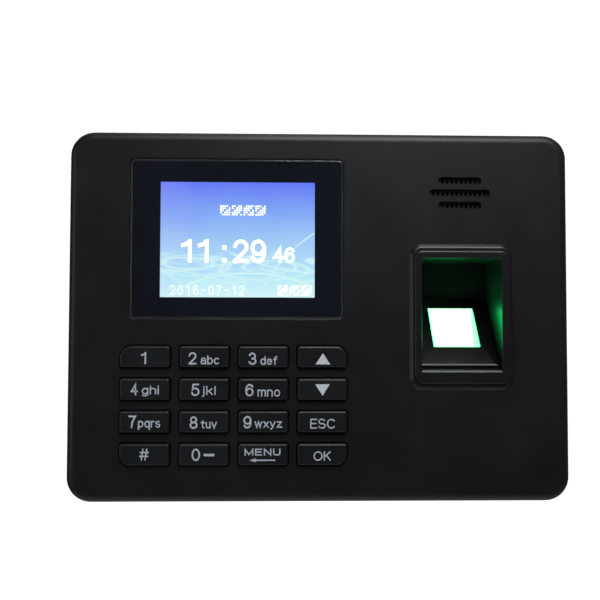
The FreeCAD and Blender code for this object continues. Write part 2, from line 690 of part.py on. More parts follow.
def make_front_cover():
    body = start_body("front_cover")
    zero = as_size(0.0)
    shell = start_sketch(body, "XZ_Plane", size.case_parting)
    draw_rectangle(shell, zero, zero, size.case_wide, size.case_tall, [size.case_corner] * 4)
    pad(body, shell, size.case_face - size.case_parting)
    round_edges(body, size.case_face, size.face_round)
    hollow = start_sketch(body, "XZ_Plane", face_inner)
    draw_rectangle(hollow, zero, zero, inner_wide, inner_tall, [inner_corner] * 4)
    pocket(body, hollow, face_inner - size.case_parting)

    window = start_sketch(body, "XZ_Plane", size.case_face)
    draw_rectangle(window, size.window_x, size.window_z, size.window_wide, size.window_tall,
                   [size.window_corner] * 4)
    pocket(body, window, size.window_recess)
    round_edges(body, size.case_face, size.window_rim,
                inside=(size.window_x, size.window_z, size.window_wide, size.window_tall))
    aperture = start_sketch(body, "XZ_Plane", size.case_face - size.window_recess)
    draw_rectangle(aperture, size.screen_x, size.screen_z,
                   size.screen_wide + 2 * size.aperture_margin,
                   size.screen_tall + 2 * size.aperture_margin)
    pocket(body, aperture, size.face_thick - size.window_recess)

    for row, names in enumerate(KEY_ROWS):
        holes = start_sketch(body, "XZ_Plane", size.case_face)
        for column, name in enumerate(names):
            x, z = key_centre(row, column)
            draw_rectangle(holes, x, z, size.key_wide + 2 * size.key_gap,
                           size.key_tall + 2 * size.key_gap, key_corners(name, size.key_gap))
        pocket(body, holes, size.face_thick)

    grille = start_sketch(body, "XZ_Plane", size.case_face)
    for z, long, _ in grille_rows():
        draw_stadium(grille, size.speaker_x, z, long, size.grille_tall)
    pocket(body, grille, size.grille_recess)
    for z, _, count in grille_rows():
        holes = start_sketch(body, "XZ_Plane", size.case_face - size.grille_recess)
        for index in range(count):
            x = size.speaker_x + (index - (count - 1) / 2) * size.grille_pitch
            draw_stadium(holes, x, z, size.grille_hole_wide, size.grille_hole_tall)
        pocket(body, holes, size.face_thick - size.grille_recess)

    finger = start_sketch(body, "XZ_Plane", size.case_face)
    collar_extra = 2 * (size.collar_thick + size.collar_fit)
    draw_rectangle(finger, size.well_x, size.well_z, size.well_wide + collar_extra,
                   size.well_tall + collar_extra,
                   [size.well_corner + size.collar_thick + size.collar_fit] * 4)
    pocket(body, finger, size.face_thick)

    # Bosses behind the face, for the case, the front board and the sensor's ears.
    boss_end = rear_floor + size.case_post_high + size.close_gap
    ear_boss_end = ear_out + size.ear_thick
    boss_sets = [
        (case_screw_places, boss_end, size.boss_radius,
         size.case_screw_radius, size.case_screw_long),
        (front_board_places, front_board_face, size.post_radius,
         size.small_screw_radius, size.small_screw_long - size.board_thick + 0.5),
        (ear_screw_places, ear_boss_end, size.ear_boss_radius,
         size.small_screw_radius, size.small_screw_long),
    ]
    for places, end, radius, screw_radius, hole_deep in boss_sets:
        bosses = start_sketch(body, "XZ_Plane", face_inner)
        for x, z in places:
            draw_circle(bosses, x, z, radius)
        pad(body, bosses, face_inner - end, backward=True)
        pilots = start_sketch(body, "XZ_Plane", end)
        for x, z in places:
            draw_circle(pilots, x, z, screw_radius + size.thread_play)
        pocket(body, pilots, hole_deep, forward=True)

    ring = start_sketch(body, "XZ_Plane", face_inner)
    ring_inside = size.speaker_radius + size.speaker_fit
    draw_circle(ring, size.speaker_x, size.speaker_z, ring_inside)
    draw_circle(ring, size.speaker_x, size.speaker_z, ring_inside + size.speaker_ring_thick)
    pad(body, ring, size.speaker_ring_high, backward=True)

    # Openings in the bottom wall for the USB socket and the power jack.
    usb_port = start_sketch(body, "XY_Plane", -size.case_tall / 2)
    draw_rectangle(usb_port, size.usb_x, -main_board_face - size.usb_high / 2,
                   size.usb_wide + 2 * size.usb_port_gap,
                   size.usb_high + 2 * size.usb_port_gap)
    pocket(body, usb_port, size.case_wall, forward=True)
    jack_port = start_sketch(body, "XY_Plane", -size.case_tall / 2)
    draw_rectangle(jack_port, size.jack_x, -main_board_face - size.jack_axis,
                   size.jack_port_wide, size.jack_port_high, [size.jack_port_corner] * 4)
    pocket(body, jack_port, size.case_wall, forward=True)


def make_case_screws():
    seat = size.case_back + size.rear_skin
    keep("case_screws", group([
        screw(x, seat, z, size.case_head_radius, size.case_head_high,
              size.case_screw_radius, size.case_screw_long)
        for x, z in case_screw_places
    ]))


# ------------------------------------------------------------------ display


def make_display():
    window_out = size.case_face - size.window_recess + size.tape_thick
    lens = start_body("display_window")
    outline = start_sketch(lens, "XZ_Plane", window_out)
    draw_rectangle(outline, size.window_x, size.window_z,
                   size.window_wide - 2 * size.window_gap,
                   size.window_tall - 2 * size.window_gap,
                   [size.window_corner - size.window_gap] * 4)
    pad(lens, outline, size.window_thick)
    round_edges(lens, window_out + size.window_thick, size.window_edge)

    aperture_wide = size.screen_wide + 2 * size.aperture_margin
    aperture_tall = size.screen_tall + 2 * size.aperture_margin
    frame_plate("window_tape", size.window_x, size.window_z,
                size.case_face - size.window_recess, size.tape_thick,
                size.window_wide - 2 * size.tape_margin, size.window_tall - 2 * size.tape_margin,
                aperture_wide + size.tape_overlap, aperture_tall + size.tape_overlap,
                size.screen_x, size.screen_z)
    frame_plate("lcd_gasket", size.screen_x, size.screen_z,
                face_inner - size.gasket_thick, size.gasket_thick,
                aperture_wide + 2 * size.gasket_margin, aperture_tall + size.gasket_margin,
                aperture_wide, aperture_tall)

    panel_out = face_inner - size.gasket_thick - size.panel_thick
    backlight_out = panel_out - size.backlight_thick
    keep("lcd_panel", block(size.screen_x, panel_out, size.screen_z,
                            size.panel_wide, size.panel_thick, size.panel_tall))
    keep("backlight_unit", block(size.screen_x, backlight_out, size.screen_z,
                                 size.panel_wide, size.backlight_thick, size.panel_tall))

    frame = start_body("lcd_frame")
    hole_wide = size.panel_wide + 2 * size.lcd_gap
    hole_tall = size.panel_tall + 2 * size.lcd_gap
    frame_front = face_inner - size.gasket_thick - size.lcd_rim_back
    outline = start_sketch(frame, "XZ_Plane", front_board_face)
    draw_rectangle(outline, size.screen_x, size.screen_z, hole_wide + 2 * size.lcd_wall,
                   hole_tall + 2 * size.lcd_wall, [size.lcd_wall] * 4)
    pad(frame, outline, frame_front - front_board_face)
    tray = start_sketch(frame, "XZ_Plane", frame_front)
    draw_rectangle(tray, size.screen_x, size.screen_z, hole_wide, hole_tall)
    pocket(frame, tray, frame_front - backlight_out)
    notch = start_sketch(frame, "XZ_Plane", frame_front)
    frame_bottom_z = size.screen_z - hole_tall / 2 - size.lcd_wall
    draw_rectangle(notch, size.screen_x, frame_bottom_z + size.lcd_wall / 2,
                   size.lcd_notch, size.lcd_wall * 1.1)
    pocket(frame, notch, frame_front - backlight_out)

    # The flex leaves the panel's lower edge, bends down and lies on the front board.
    flex = start_body("lcd_flex")
    profile = start_sketch(flex, "YZ_Plane", size.screen_x)
    thick = size.flex_thick
    top_out = panel_out + size.panel_thick / 2
    panel_bottom_z = size.screen_z - size.panel_tall / 2
    outer_z = frame_bottom_z - thick
    draw_polygon(profile, [
        (-top_out, panel_bottom_z),
        (-top_out, outer_z),
        (-front_board_face - thick, outer_z),
        (-front_board_face - thick, outer_z - size.flex_foot),
        (-front_board_face, outer_z - size.flex_foot),
        (-front_board_face, outer_z + thick),
        (thick - top_out, outer_z + thick),
        (thick - top_out, panel_bottom_z),
    ])
    pad(flex, profile, size.flex_wide, both_ways=True)


# ------------------------------------------------------------------ keypad


def make_key(name, row, column):
    """A key cap with the flange that keeps it behind the face, about its own centre."""
    body = start_body(name)
    zero = as_size(0.0)
    flange_front = face_inner - size.key_free
    flange = start_sketch(body, "XZ_Plane", flange_front)
    draw_rectangle(flange, zero, zero, size.key_wide + 2 * size.key_flange,
                   size.key_tall + 2 * size.key_flange, [size.key_corner] * 4)
    pad(body, flange, size.key_flange_thick, backward=True)
    cap_front = size.case_face + size.key_proud
    cap = start_sketch(body, "XZ_Plane", flange_front)
    draw_rectangle(cap, zero, zero, size.key_wide, size.key_tall, key_corners(name, as_size(0.0)))
    pad(body, cap, cap_front - flange_front)
    round_edges(body, cap_front, size.key_edge)
    x, z = key_centre(row, column)
    bind(body, "Placement.Base.x", x)
    bind(body, "Placement.Base.z", z)


def make_keypad():
    for row, names in enumerate(KEY_ROWS):
        for column, name in enumerate(names):
            make_key(name, row, column)
    membrane = start_body("keypad_membrane")
    outline = start_sketch(membrane, "XZ_Plane", front_board_face)
    draw_rectangle(outline, size.keypad_x, size.keypad_z, size.membrane_wide,
                   size.membrane_tall, [size.board_corner] * 4)
    pad(membrane, outline, size.membrane_thick)
    domes = start_sketch(membrane, "XZ_Plane", front_board_face + size.membrane_thick)
    for row, names in enumerate(KEY_ROWS):
        for column in range(len(names)):
            x, z = key_centre(row, column)
            draw_circle(domes, x, z, size.dome_radius)
    # A dome is as tall as it stays under a key that is pressed right down.
    key_back = face_inner - size.key_free - size.key_flange_thick
    dome_top = key_back - size.key_travel - size.dome_clear
    pad(membrane, domes, dome_top - front_board_face - size.membrane_thick)


# ------------------------------------------------------------------ boards and what is on them


def make_board(name, x, z, out, wide, tall, hole_places):
    body = start_body(name)
    outline = start_sketch(body, "XZ_Plane", out)
    draw_rectangle(outline, x, z, wide, tall, [size.board_corner] * 4)
    pad(body, outline, size.board_thick)
    holes = start_sketch(body, "XZ_Plane", out + size.board_thick)
    for hole_x, hole_z in hole_places:
        draw_circle(holes, hole_x, hole_z, size.small_screw_radius + size.screw_hole_play)
    pocket(body, holes, size.board_thick)


def make_boards():
    make_board("front_board", size.front_board_x, as_size(0.0), size.front_board_out,
               size.front_board_wide, size.front_board_tall, front_board_places)
    make_board("main_board", size.main_board_x, size.main_board_z, size.main_board_out,
               size.main_board_wide, size.main_board_tall, main_board_places)
    keep("front_board_screws", group([
        screw(x, size.front_board_out, z, size.small_head_radius, size.small_head_high,
              size.small_screw_radius, size.small_screw_long)
        for x, z in front_board_places
    ]))
    keep("main_board_screws", group([
        screw(x, main_board_face, z, size.small_head_radius, size.small_head_high,
              size.small_screw_radius, size.small_screw_long, drives_forward=False)
        for x, z in main_board_places
    ]))


# Chips on the main board: x and z from its centre, width, height and thickness.
MAIN_CHIPS = [
    (-4.0, 6.0, 14.0, 14.0, 1.4),
    (14.0, 8.0, 9.0, 11.0, 1.1),
    (-22.0, 8.0, 8.0, 6.0, 1.5),
    (-36.0, -6.0, 5.0, 6.2, 1.6),
    (30.0, 14.0, 6.5, 10.0, 1.3),
]
RIBBON_PLACE = {"x": -62.0, "main_z": -14.0, "front_z": -3.0, "wide": 22.0}
CONNECTOR_HIGH = 3.0
CONNECTOR_DEEP = 5.0
SENSOR_PLUG = {"x": 9.0, "z": -19.0, "wide": 6.0, "tall": 9.0}
SPEAKER_PLUG = {"x": 2.0, "z": -12.0, "wide": 7.0, "tall": 4.0}
RIBBON_THICK = 0.6
# The clock cell's place on the main board, and its holder's floor, rim and play.
CELL = {"x": 34.0, "z": -12.0, "radius": 8.0, "thick": 2.5, "floor": 0.8, "rim": 1.2, "play": 0.2}


def make_main_board_parts():
    keep("board_chips", group([
        block(size.main_board_x + x, main_board_face, size.main_board_z + z,
              as_size(wide), as_size(high), as_size(tall))
        for x, z, wide, tall, high in MAIN_CHIPS
    ]))
    high = as_size(CONNECTOR_HIGH)
    deep = as_size(CONNECTOR_DEEP)
    ribbon_x = as_size(RIBBON_PLACE["x"])
    plug_wide = as_size(RIBBON_PLACE["wide"])
    keep("board_connectors", group([
        block(ribbon_x, main_board_face, as_size(RIBBON_PLACE["main_z"]), plug_wide, high, deep),
        block(ribbon_x, size.front_board_out - high, as_size(RIBBON_PLACE["front_z"]),
              plug_wide, high, deep),
        block(as_size(SENSOR_PLUG["x"]), main_board_face, as_size(SENSOR_PLUG["z"]),
              as_size(SENSOR_PLUG["wide"]), high, as_size(SENSOR_PLUG["tall"])),
        block(as_size(SPEAKER_PLUG["x"]), main_board_face, as_size(SPEAKER_PLUG["z"]),
              as_size(SPEAKER_PLUG["wide"]), high, as_size(SPEAKER_PLUG["tall"])),
    ]))

    cable = start_body("board_ribbon")
    profile = start_sketch(cable, "YZ_Plane", ribbon_x)
    half = RIBBON_THICK / 2
    low = main_board_face + high
    front = size.front_board_out - high
    middle = (low + front) / 2
    main_z = as_size(RIBBON_PLACE["main_z"])
    front_z = as_size(RIBBON_PLACE["front_z"])
    draw_polygon(profile, [
        (-low, main_z - half), (-middle - half, main_z - half),
        (-middle - half, front_z - half), (-front, front_z - half),
        (-front, front_z + half), (-middle + half, front_z + half),
        (-middle + half, main_z + half), (-low, main_z + half),
    ])
    pad(cable, profile, plug_wide * 0.9, both_ways=True)

    cell_x = size.main_board_x + CELL["x"]
    cell_z = size.main_board_z + CELL["z"]
    cell_out = main_board_face + CELL["floor"]
    cell_radius = as_size(CELL["radius"])
    cell_thick = as_size(CELL["thick"])
    seat_radius = cell_radius + CELL["play"]
    holder = rod(cell_x, main_board_face, cell_z, seat_radius + CELL["rim"], cell_thick)
    seat = rod(cell_x, cell_out, cell_z, seat_radius, cell_thick)
    keep("clock_cell_holder", cut(holder, seat))
    keep("clock_cell", rod(cell_x, cell_out, cell_z, cell_radius, cell_thick))


def make_usb_socket():
    """A USB-A socket whose mouth is just inside the case's bottom wall."""
    body = start_body("usb_socket")
    mouth_z = bottom_wall_inner_z + size.close_gap
    centre_y = -main_board_face - size.usb_high / 2
    shell = start_sketch(body, "XY_Plane", mouth_z)
    draw_rectangle(shell, size.usb_x, centre_y, size.usb_wide, size.usb_high)
    pad(body, shell, size.usb_deep)
    hollow = start_sketch(body, "XY_Plane", mouth_z)
    draw_rectangle(hollow, size.usb_x, centre_y, size.usb_wide - 2 * size.usb_skin,
                   size.usb_high - 2 * size.usb_skin)
    pocket(body, hollow, size.usb_deep - size.usb_skin, forward=True)

    tongue = start_body("usb_tongue")
    tongue_mouth = mouth_z + size.usb_tongue_back
    tongue_long = size.usb_deep - size.usb_skin - size.usb_tongue_back
    profile = start_sketch(tongue, "XY_Plane", tongue_mouth)
    tongue_y = -main_board_face - size.usb_high + size.usb_skin + size.usb_tongue_thick
    draw_rectangle(profile, size.usb_x, tongue_y, size.usb_tongue_wide, size.usb_tongue_thick)
    pad(tongue, profile, tongue_long)


def make_power_jack():
    body = start_body("power_jack")
    mouth_z = bottom_wall_inner_z + size.close_gap
    axis_y = -main_board_face - size.jack_axis
    shell = start_sketch(body, "XY_Plane", mouth_z)
    draw_rectangle(shell, size.jack_x, -main_board_face - size.jack_high / 2,
                   size.jack_wide, size.jack_high)
    pad(body, shell, size.jack_deep)
    bore = start_sketch(body, "XY_Plane", mouth_z)
    draw_circle(bore, size.jack_x, axis_y, size.jack_bore)
    pocket(body, bore, size.jack_bore_deep, forward=True)

    pin = doc.addObject("Part::Cylinder", "pin")
    bind(pin, "Radius", size.jack_pin)
    pin_long = size.jack_bore_deep - 1.0
    bind(pin, "Height", pin_long)
    bind(pin, "Placement.Base.x", size.jack_x)
    bind(pin, "Placement.Base.y", axis_y)
    bind(pin, "Placement.Base.z", mouth_z + size.jack_bore_deep - pin_long)
    keep("power_jack_pin", pin)


# ------------------------------------------------------------------ speaker


def make_speaker():
    x, z = size.speaker_x, size.speaker_z
    front = face_inner - size.speaker_gasket_thick
    back = front - size.speaker_deep
    floor_thick = as_size(1.0)
    keep("speaker_gasket", cut(
        rod(x, front, z, size.speaker_radius, size.speaker_gasket_thick),
        rod(x, front, z, size.speaker_radius - size.speaker_rim, size.speaker_gasket_thick),
    ))
    cone_space = size.speaker_deep - floor_thick
    keep("speaker_frame", cut(
        rod(x, back, z, size.speaker_radius, size.speaker_deep),
        rod(x, back + floor_thick, z, size.speaker_radius - size.speaker_rim, cone_space),
        rod(x, back, z, size.magnet_radius + size.speaker_fit, floor_thick),
    ))
    keep("speaker_magnet", rod(x, back + floor_thick - size.magnet_deep, z,
                               size.magnet_radius, size.magnet_deep))

    # The cone is a thin dish, clear of the magnet and inside the frame's rim.
    skin = as_size(0.4)

    def dish(out):
        cone = doc.addObject("Part::Cone", "cone")
        cone.Placement = FreeCAD.Placement(Vector(0, 0, 0), Rotation(Vector(1, 0, 0), 90))
        bind(cone, "Radius1", size.magnet_radius / 2)
        bind(cone, "Radius2", size.speaker_radius - size.speaker_rim - size.speaker_fit)
        bind(cone, "Height", cone_space - 2 * skin)
        return place(cone, x, out, z)

    cone_back = back + floor_thick + skin
    keep("speaker_cone", cut(dish(cone_back), dish(cone_back + skin)))


def bent_wire(points, wire_radius, bend_share=0.4):
    """A round wire along straight runs joined by tangent arcs."""
    edges = []
    start = points[0]
    for before, corner, after in zip(points, points[1:], points[2:]):
        incoming = corner - before
        outgoing = after - corner
        reach = bend_share * min(incoming.Length, outgoing.Length)
        arrive = corner - Vector(incoming).normalize() * reach
        leave = corner + Vector(outgoing).normalize() * reach
        half_turn = incoming.getAngle(outgoing) / 2
        radius = reach / math.tan(half_turn)
        inward = (Vector(outgoing).normalize() - Vector(incoming).normalize()).normalize()
        middle = corner + inward * (radius / math.cos(half_turn) - radius)
        edges.append(Part.LineSegment(start, arrive).toShape())
        edges.append(Part.Arc(arrive, middle, leave).toShape())
        start = leave
    edges.append(Part.LineSegment(start, points[-1]).toShape())
    path = Part.Wire(edges)
    circle = Part.Circle(points[0], points[1] - points[0], wire_radius)
    profile = Part.Wire([circle.toShape()])
    return path.makePipeShell([profile], True, True)


def make_speaker_leads():
    """Two thin leads from the speaker's rim to their plug on the main board."""
    speaker_back = face_inner - size.speaker_gasket_thick - size.speaker_deep
    plug_top = main_board_face + CONNECTOR_HIGH
    start_x = size.speaker_x.number - size.magnet_radius.number - 3.0
    start_z = size.speaker_z.number - 4.0
    straight = 4.0
    wires = []
    for side in (-1, 1):
        apart = side * 0.9
        plug_x = SPEAKER_PLUG["x"] + apart
        plug_z = SPEAKER_PLUG["z"]
        points = [
            Vector(start_x, -speaker_back.number, start_z + apart),
            Vector(start_x, straight - speaker_back.number, start_z + apart),
            Vector(27.0 + apart, -22.0, 26.0),
            Vector(25.0 + apart, -20.0, 6.0),
            Vector(14.0 + apart, -19.0, -8.0),
            Vector(plug_x, -plug_top.number - straight, plug_z),
            Vector(plug_x, -plug_top.number, plug_z),
        ]
        wires.append(bent_wire(points, wire_radius=0.55))
    leads = doc.addObject("Part::Feature", "leads")
    leads.Shape = Part.Compound(wires)
    leads.Placement = FreeCAD.Placement()
    keep("speaker_leads", leads)


# ------------------------------------------------------------------ finger bezel and sensor


def make_finger_bezel():
    """Trim frame on the face whose deep collar makes the side walls, top and back of the well."""
    body = start_body("finger_bezel")
    plinth = start_sketch(body, "XZ_Plane", size.case_face)
    draw_rectangle(plinth, size.bezel_x, size.bezel_z, size.bezel_wide, size.bezel_tall,
                   [size.bezel_corner] * 4)
    pad(body, plinth, size.plinth_high, narrowing=size.plinth_slope)
    round_edges(body, size.case_face + size.plinth_high, size.plinth_round)
    frame = start_sketch(body, "XZ_Plane", size.case_face)
    draw_rectangle(frame, size.frame_x, size.frame_z, size.frame_wide, size.frame_tall,
                   [size.frame_corner] * 4)
    frame_reach = size.plinth_high + size.frame_high
    pad(body, frame, frame_reach)
    frame_front = size.case_face + frame_reach
    round_edges(body, frame_front, size.frame_round)

    well_back = size.case_face - size.well_deep
    collar_back = well_back - size.collar_thick
    collar = start_sketch(body, "XZ_Plane", size.case_face)
    draw_rectangle(collar, size.well_x, size.well_z, size.well_wide + 2 * size.collar_thick,
                   size.well_tall + 2 * size.collar_thick,
                   [size.well_corner + size.collar_thick] * 4)
    pad(body, collar, size.case_face - collar_back, backward=True)
    clips = start_sketch(body, "XZ_Plane", face_inner - size.key_free)
    for side in (-1, 1):
        clip_x = size.well_x + side * (size.well_wide / 2 + size.collar_thick)
        draw_rectangle(clips, clip_x, size.well_z, 2 * size.clip_proud, size.clip_tall)
    pad(body, clips, size.collar_thick, backward=True)

    well = start_sketch(body, "XZ_Plane", frame_front)
    draw_rectangle(well, size.well_x, size.well_z, size.well_wide, size.well_tall,
                   [None, None, size.well_corner, size.well_corner])
    pocket(body, well, frame_front - well_back)
    well_bottom = size.well_z - size.well_tall / 2
    round_edges(body, frame_front, size.well_round,
                inside=(size.well_x, size.well_z, size.well_wide, size.well_tall),
                outside=(size.well_x, well_bottom, size.well_wide, as_size(0.0)))
    lip = start_sketch(body, "YZ_Plane", size.well_x)
    draw_round_off(lip, -frame_front, well_bottom, size.well_lip)
    pocket(body, lip, size.well_wide, both_ways=True)

    # The sensor comes in from behind, through the lower part of the well's back.
    gate_top = size.floor_top_z + size.close_gap
    gate = start_sketch(body, "XZ_Plane", well_back)
    draw_rectangle(gate, size.well_x, (gate_top + well_bottom) / 2, size.well_wide,
                   gate_top - well_bottom)
    pocket(body, gate, size.collar_thick)


def slope_out(z, sunk=0.0):
    """How far out the sloping floor is at height z, or a plane "sunk" below it."""
    run = tangent(size.slope_angle)
    return size.case_face - (z - size.slope_foot_z) * run - as_size(sunk) / cosine(size.slope_angle)


def make_sensor_housing():
    body = start_body("sensor_housing")
    bottom_z = size.well_z - size.well_tall / 2 + size.close_gap
    block_shape = start_sketch(body, "YZ_Plane", size.well_x)
    nose_out = slope_out(size.nose_top_z)
    draw_polygon(block_shape, [
        (-size.housing_back, bottom_z),
        (-nose_out, bottom_z),
        (-nose_out, size.nose_top_z),
        (-slope_out(size.floor_top_z), size.floor_top_z),
        (-size.housing_back, size.floor_top_z),
    ])
    pad(body, block_shape, size.well_wide - 2 * size.floor_fit, both_ways=True)
    round_chosen(body, edges_across(body.Shape, size.nose_top_z), size.nose_bend)
    nose_edges = [name for name in edges_across(body.Shape, bottom_z)
                  if abs(body.Shape.getElement(name).BoundBox.YMin + nose_out.number) < NEAR]
    round_chosen(body, nose_edges, size.nose_round)

    ears = start_sketch(body, "XZ_Plane", ear_out)
    draw_rectangle(ears, size.well_x, size.ear_z, 2 * size.ear_reach, size.ear_tall,
                   [size.board_corner] * 4)
    pad(body, ears, size.ear_thick)
    ear_holes = start_sketch(body, "XZ_Plane", ear_out + size.ear_thick)
    for x, z in ear_screw_places:
        draw_circle(ear_holes, x, z, size.small_screw_radius + size.screw_hole_play)
    pocket(body, ear_holes, size.ear_thick)

    wall = size.housing_wall
    inside = start_sketch(body, "YZ_Plane", size.well_x)
    low_z = bottom_z + wall
    high_z = size.floor_top_z - wall
    draw_polygon(inside, [
        (-size.housing_back, low_z),
        (-slope_out(low_z, sunk=wall), low_z),
        (-slope_out(high_z, sunk=wall), high_z),
        (-size.housing_back, high_z),
    ])
    pocket(body, inside, size.well_wide - 2 * size.floor_fit - 2 * wall, both_ways=True)

    # The platen's opening, square to the slope.
    opening = start_sketch(body, "YZ_Plane", size.well_x)
    along_z = cosine(size.slope_angle) * size.platen_fit
    along_out = sine(size.slope_angle) * size.platen_fit
    down_z = sine(size.slope_angle) * wall * 2
    down_out = cosine(size.slope_angle) * wall * 2
    low_z = size.platen_low_z - along_z
    high_z = size.platen_high_z + along_z
    low_out = slope_out(size.platen_low_z) + along_out
    high_out = slope_out(size.platen_high_z) - along_out
    draw_polygon(opening, [
        (-(low_out + down_out), low_z + down_z),
        (-(high_out + down_out), high_z + down_z),
        (-(high_out - down_out), high_z - down_z),
        (-(low_out - down_out), low_z - down_z),
    ])
    pocket(body, opening, size.platen_wide + 2 * size.platen_fit, both_ways=True)


def make_sensor_optics():
    """Right-angle prism under the platen, lit from below and seen by a lens behind it."""
    prism = start_body("sensor_prism")
    section = start_sketch(prism, "YZ_Plane", size.well_x)
    sink_z = sine(size.slope_angle) * size.platen_sunk
    sink_out = cosine(size.slope_angle) * size.platen_sunk
    low_z = size.platen_low_z - sink_z
    high_z = size.platen_high_z - sink_z
    low_out = slope_out(size.platen_low_z) - sink_out
    high_out = slope_out(size.platen_high_z) - sink_out
    half_length = (high_z - low_z) / (2 * cosine(size.slope_angle))
    apex_z = (low_z + high_z) / 2 - sine(size.slope_angle) * half_length
    apex_out = (low_out + high_out) / 2 - cosine(size.slope_angle) * half_length
    draw_polygon(section, [(-low_out, low_z), (-high_out, high_z), (-apex_out, apex_z)])
    pad(prism, section, size.platen_wide, both_ways=True)

    keep("sensor_lens", rod(size.well_x, size.housing_back, size.lens_z,
                            size.lens_radius, size.lens_long))
    bottom_z = size.well_z - size.well_tall / 2 + size.close_gap
    board_tall = size.floor_top_z - bottom_z
    keep("sensor_board", block(size.well_x, size.housing_back - size.board_thick,
                               (size.floor_top_z + bottom_z) / 2,
                               size.well_wide - 2 * size.floor_fit,
                               size.board_thick, board_tall))
    led_board_z = bottom_z + size.housing_wall + size.led_board_lift
    keep("led_board", block(size.well_x, size.led_board_out, led_board_z, size.platen_wide,
                            size.led_board_deep, size.led_board_thick))
    led_z = led_board_z + (size.led_board_thick + size.led_high) / 2
    keep("sensor_leds", group([
        block(size.well_x + step * size.led_pitch, size.led_out, led_z,
              size.led_side, size.led_side, size.led_high)
        for step in (-1.5, -0.5, 0.5, 1.5)
    ]))
    keep("sensor_screws", group([
        screw(x, ear_out, z, size.small_head_radius, size.small_head_high,
              size.small_screw_radius, size.small_screw_long)
        for x, z in ear_screw_places
    ]))

    # A flat cable from the sensor board's back to its plug on the main board.
    cable = start_body("sensor_cable")
    profile = start_sketch(cable, "XY_Plane", as_size(SENSOR_PLUG["z"]))
    thick = 0.4
    plug_out = main_board_face + CONNECTOR_HIGH
    board_back = size.housing_back - size.board_thick
    plug_x = as_size(SENSOR_PLUG["x"])
    bend_x = as_size(28.0)
    end_x = size.well_x - 8.0
    draw_polygon(profile, [
        (plug_x, -plug_out - thick), (bend_x + thick, -plug_out - thick),
        (bend_x + thick, -board_back), (end_x, -board_back),
        (end_x, thick - board_back), (bend_x, thick - board_back),
        (bend_x, -plug_out), (plug_x, -plug_out),
    ])
    pad(cable, profile, as_size(6.0), both_ways=True)


# ------------------------------------------------------------------ build, check and write

make_wall_plate()
make_rear_cover()
make_front_cover()
make_case_screws()
make_display()
make_keypad()
make_boards()
make_main_board_parts()
make_usb_socket()
make_power_jack()
make_speaker()
make_speaker_leads()
make_finger_bezel()
make_sensor_housing()
make_sensor_optics()
doc.recompute()

for item in doc.Objects:
    if "Invalid" in item.State or "Error" in item.State:
        raise RuntimeError(f"{item.Name} ({item.Label}) failed: {item.State}")
for name, piece in nodes.items():
    if piece.Shape.isNull() or not piece.Shape.isValid():
        raise RuntimeError(f"{name} has no valid shape")

os.makedirs("parts", exist_ok=True)
for name, piece in nodes.items():
    piece.Shape.exportStep(f"parts/{name}.step")
print(f"wrote {len(nodes)} sub-parts")
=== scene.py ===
import math

import bmesh
import bpy
from mathutils import Matrix, Vector


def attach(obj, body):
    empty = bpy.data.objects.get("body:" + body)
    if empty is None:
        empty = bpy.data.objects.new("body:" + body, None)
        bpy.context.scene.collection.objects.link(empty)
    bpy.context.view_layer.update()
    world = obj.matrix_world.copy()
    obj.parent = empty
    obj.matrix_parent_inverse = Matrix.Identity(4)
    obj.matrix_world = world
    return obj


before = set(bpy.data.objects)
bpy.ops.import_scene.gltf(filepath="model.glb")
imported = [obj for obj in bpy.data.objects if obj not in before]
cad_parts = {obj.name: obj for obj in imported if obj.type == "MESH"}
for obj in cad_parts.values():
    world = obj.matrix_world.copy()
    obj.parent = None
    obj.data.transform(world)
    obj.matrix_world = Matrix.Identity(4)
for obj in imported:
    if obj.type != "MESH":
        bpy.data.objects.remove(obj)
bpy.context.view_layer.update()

MM = 0.001
TERMINAL = "terminal"


# --- places, in mm; "out" is the distance from the wall ---------------------------------------

SCREEN_X, SCREEN_Z = -30.75, 28.4
SCREEN_WIDE, SCREEN_HIGH = 57.6, 43.2
WINDOW_LEFT, WINDOW_RIGHT = -70.15, 8.55
WINDOW_BOTTOM, WINDOW_TOP = -1.0, 58.0
PRINT_OUT = 34.03
PRINT_LAP = 0.35        # how far the print laps over the picture's left and upper edges
PICTURE_OUT = 32.56

# the keypad's middle, the pitch of its keys, and the printed legends on them
KEY_X, KEY_Z = -31.65, -32.82
KEY_PITCH_X, KEY_PITCH_Z = 21.6, 11.85
LEGEND_OUT = 37.11
LEGEND_THICK = 0.03

# the platen: its middle, its half width, its lower and upper ends, the slope that it lies on, and how
# far out its lower end is
PLATEN_X, PLATEN_HALF = 52.25, 8.7
PLATEN_LOW, PLATEN_HIGH = -11.52, 3.28
PLATEN_SLOPE = math.radians(37.1)
PLATEN_LOW_OUT = 29.59


def point(x, out, z):
    """The place x mm right, out mm from the wall and z mm up, in the frame's metres."""
    return Vector((x, -out, z)) * MM


# --- material helpers -------------------------------------------------------------------------

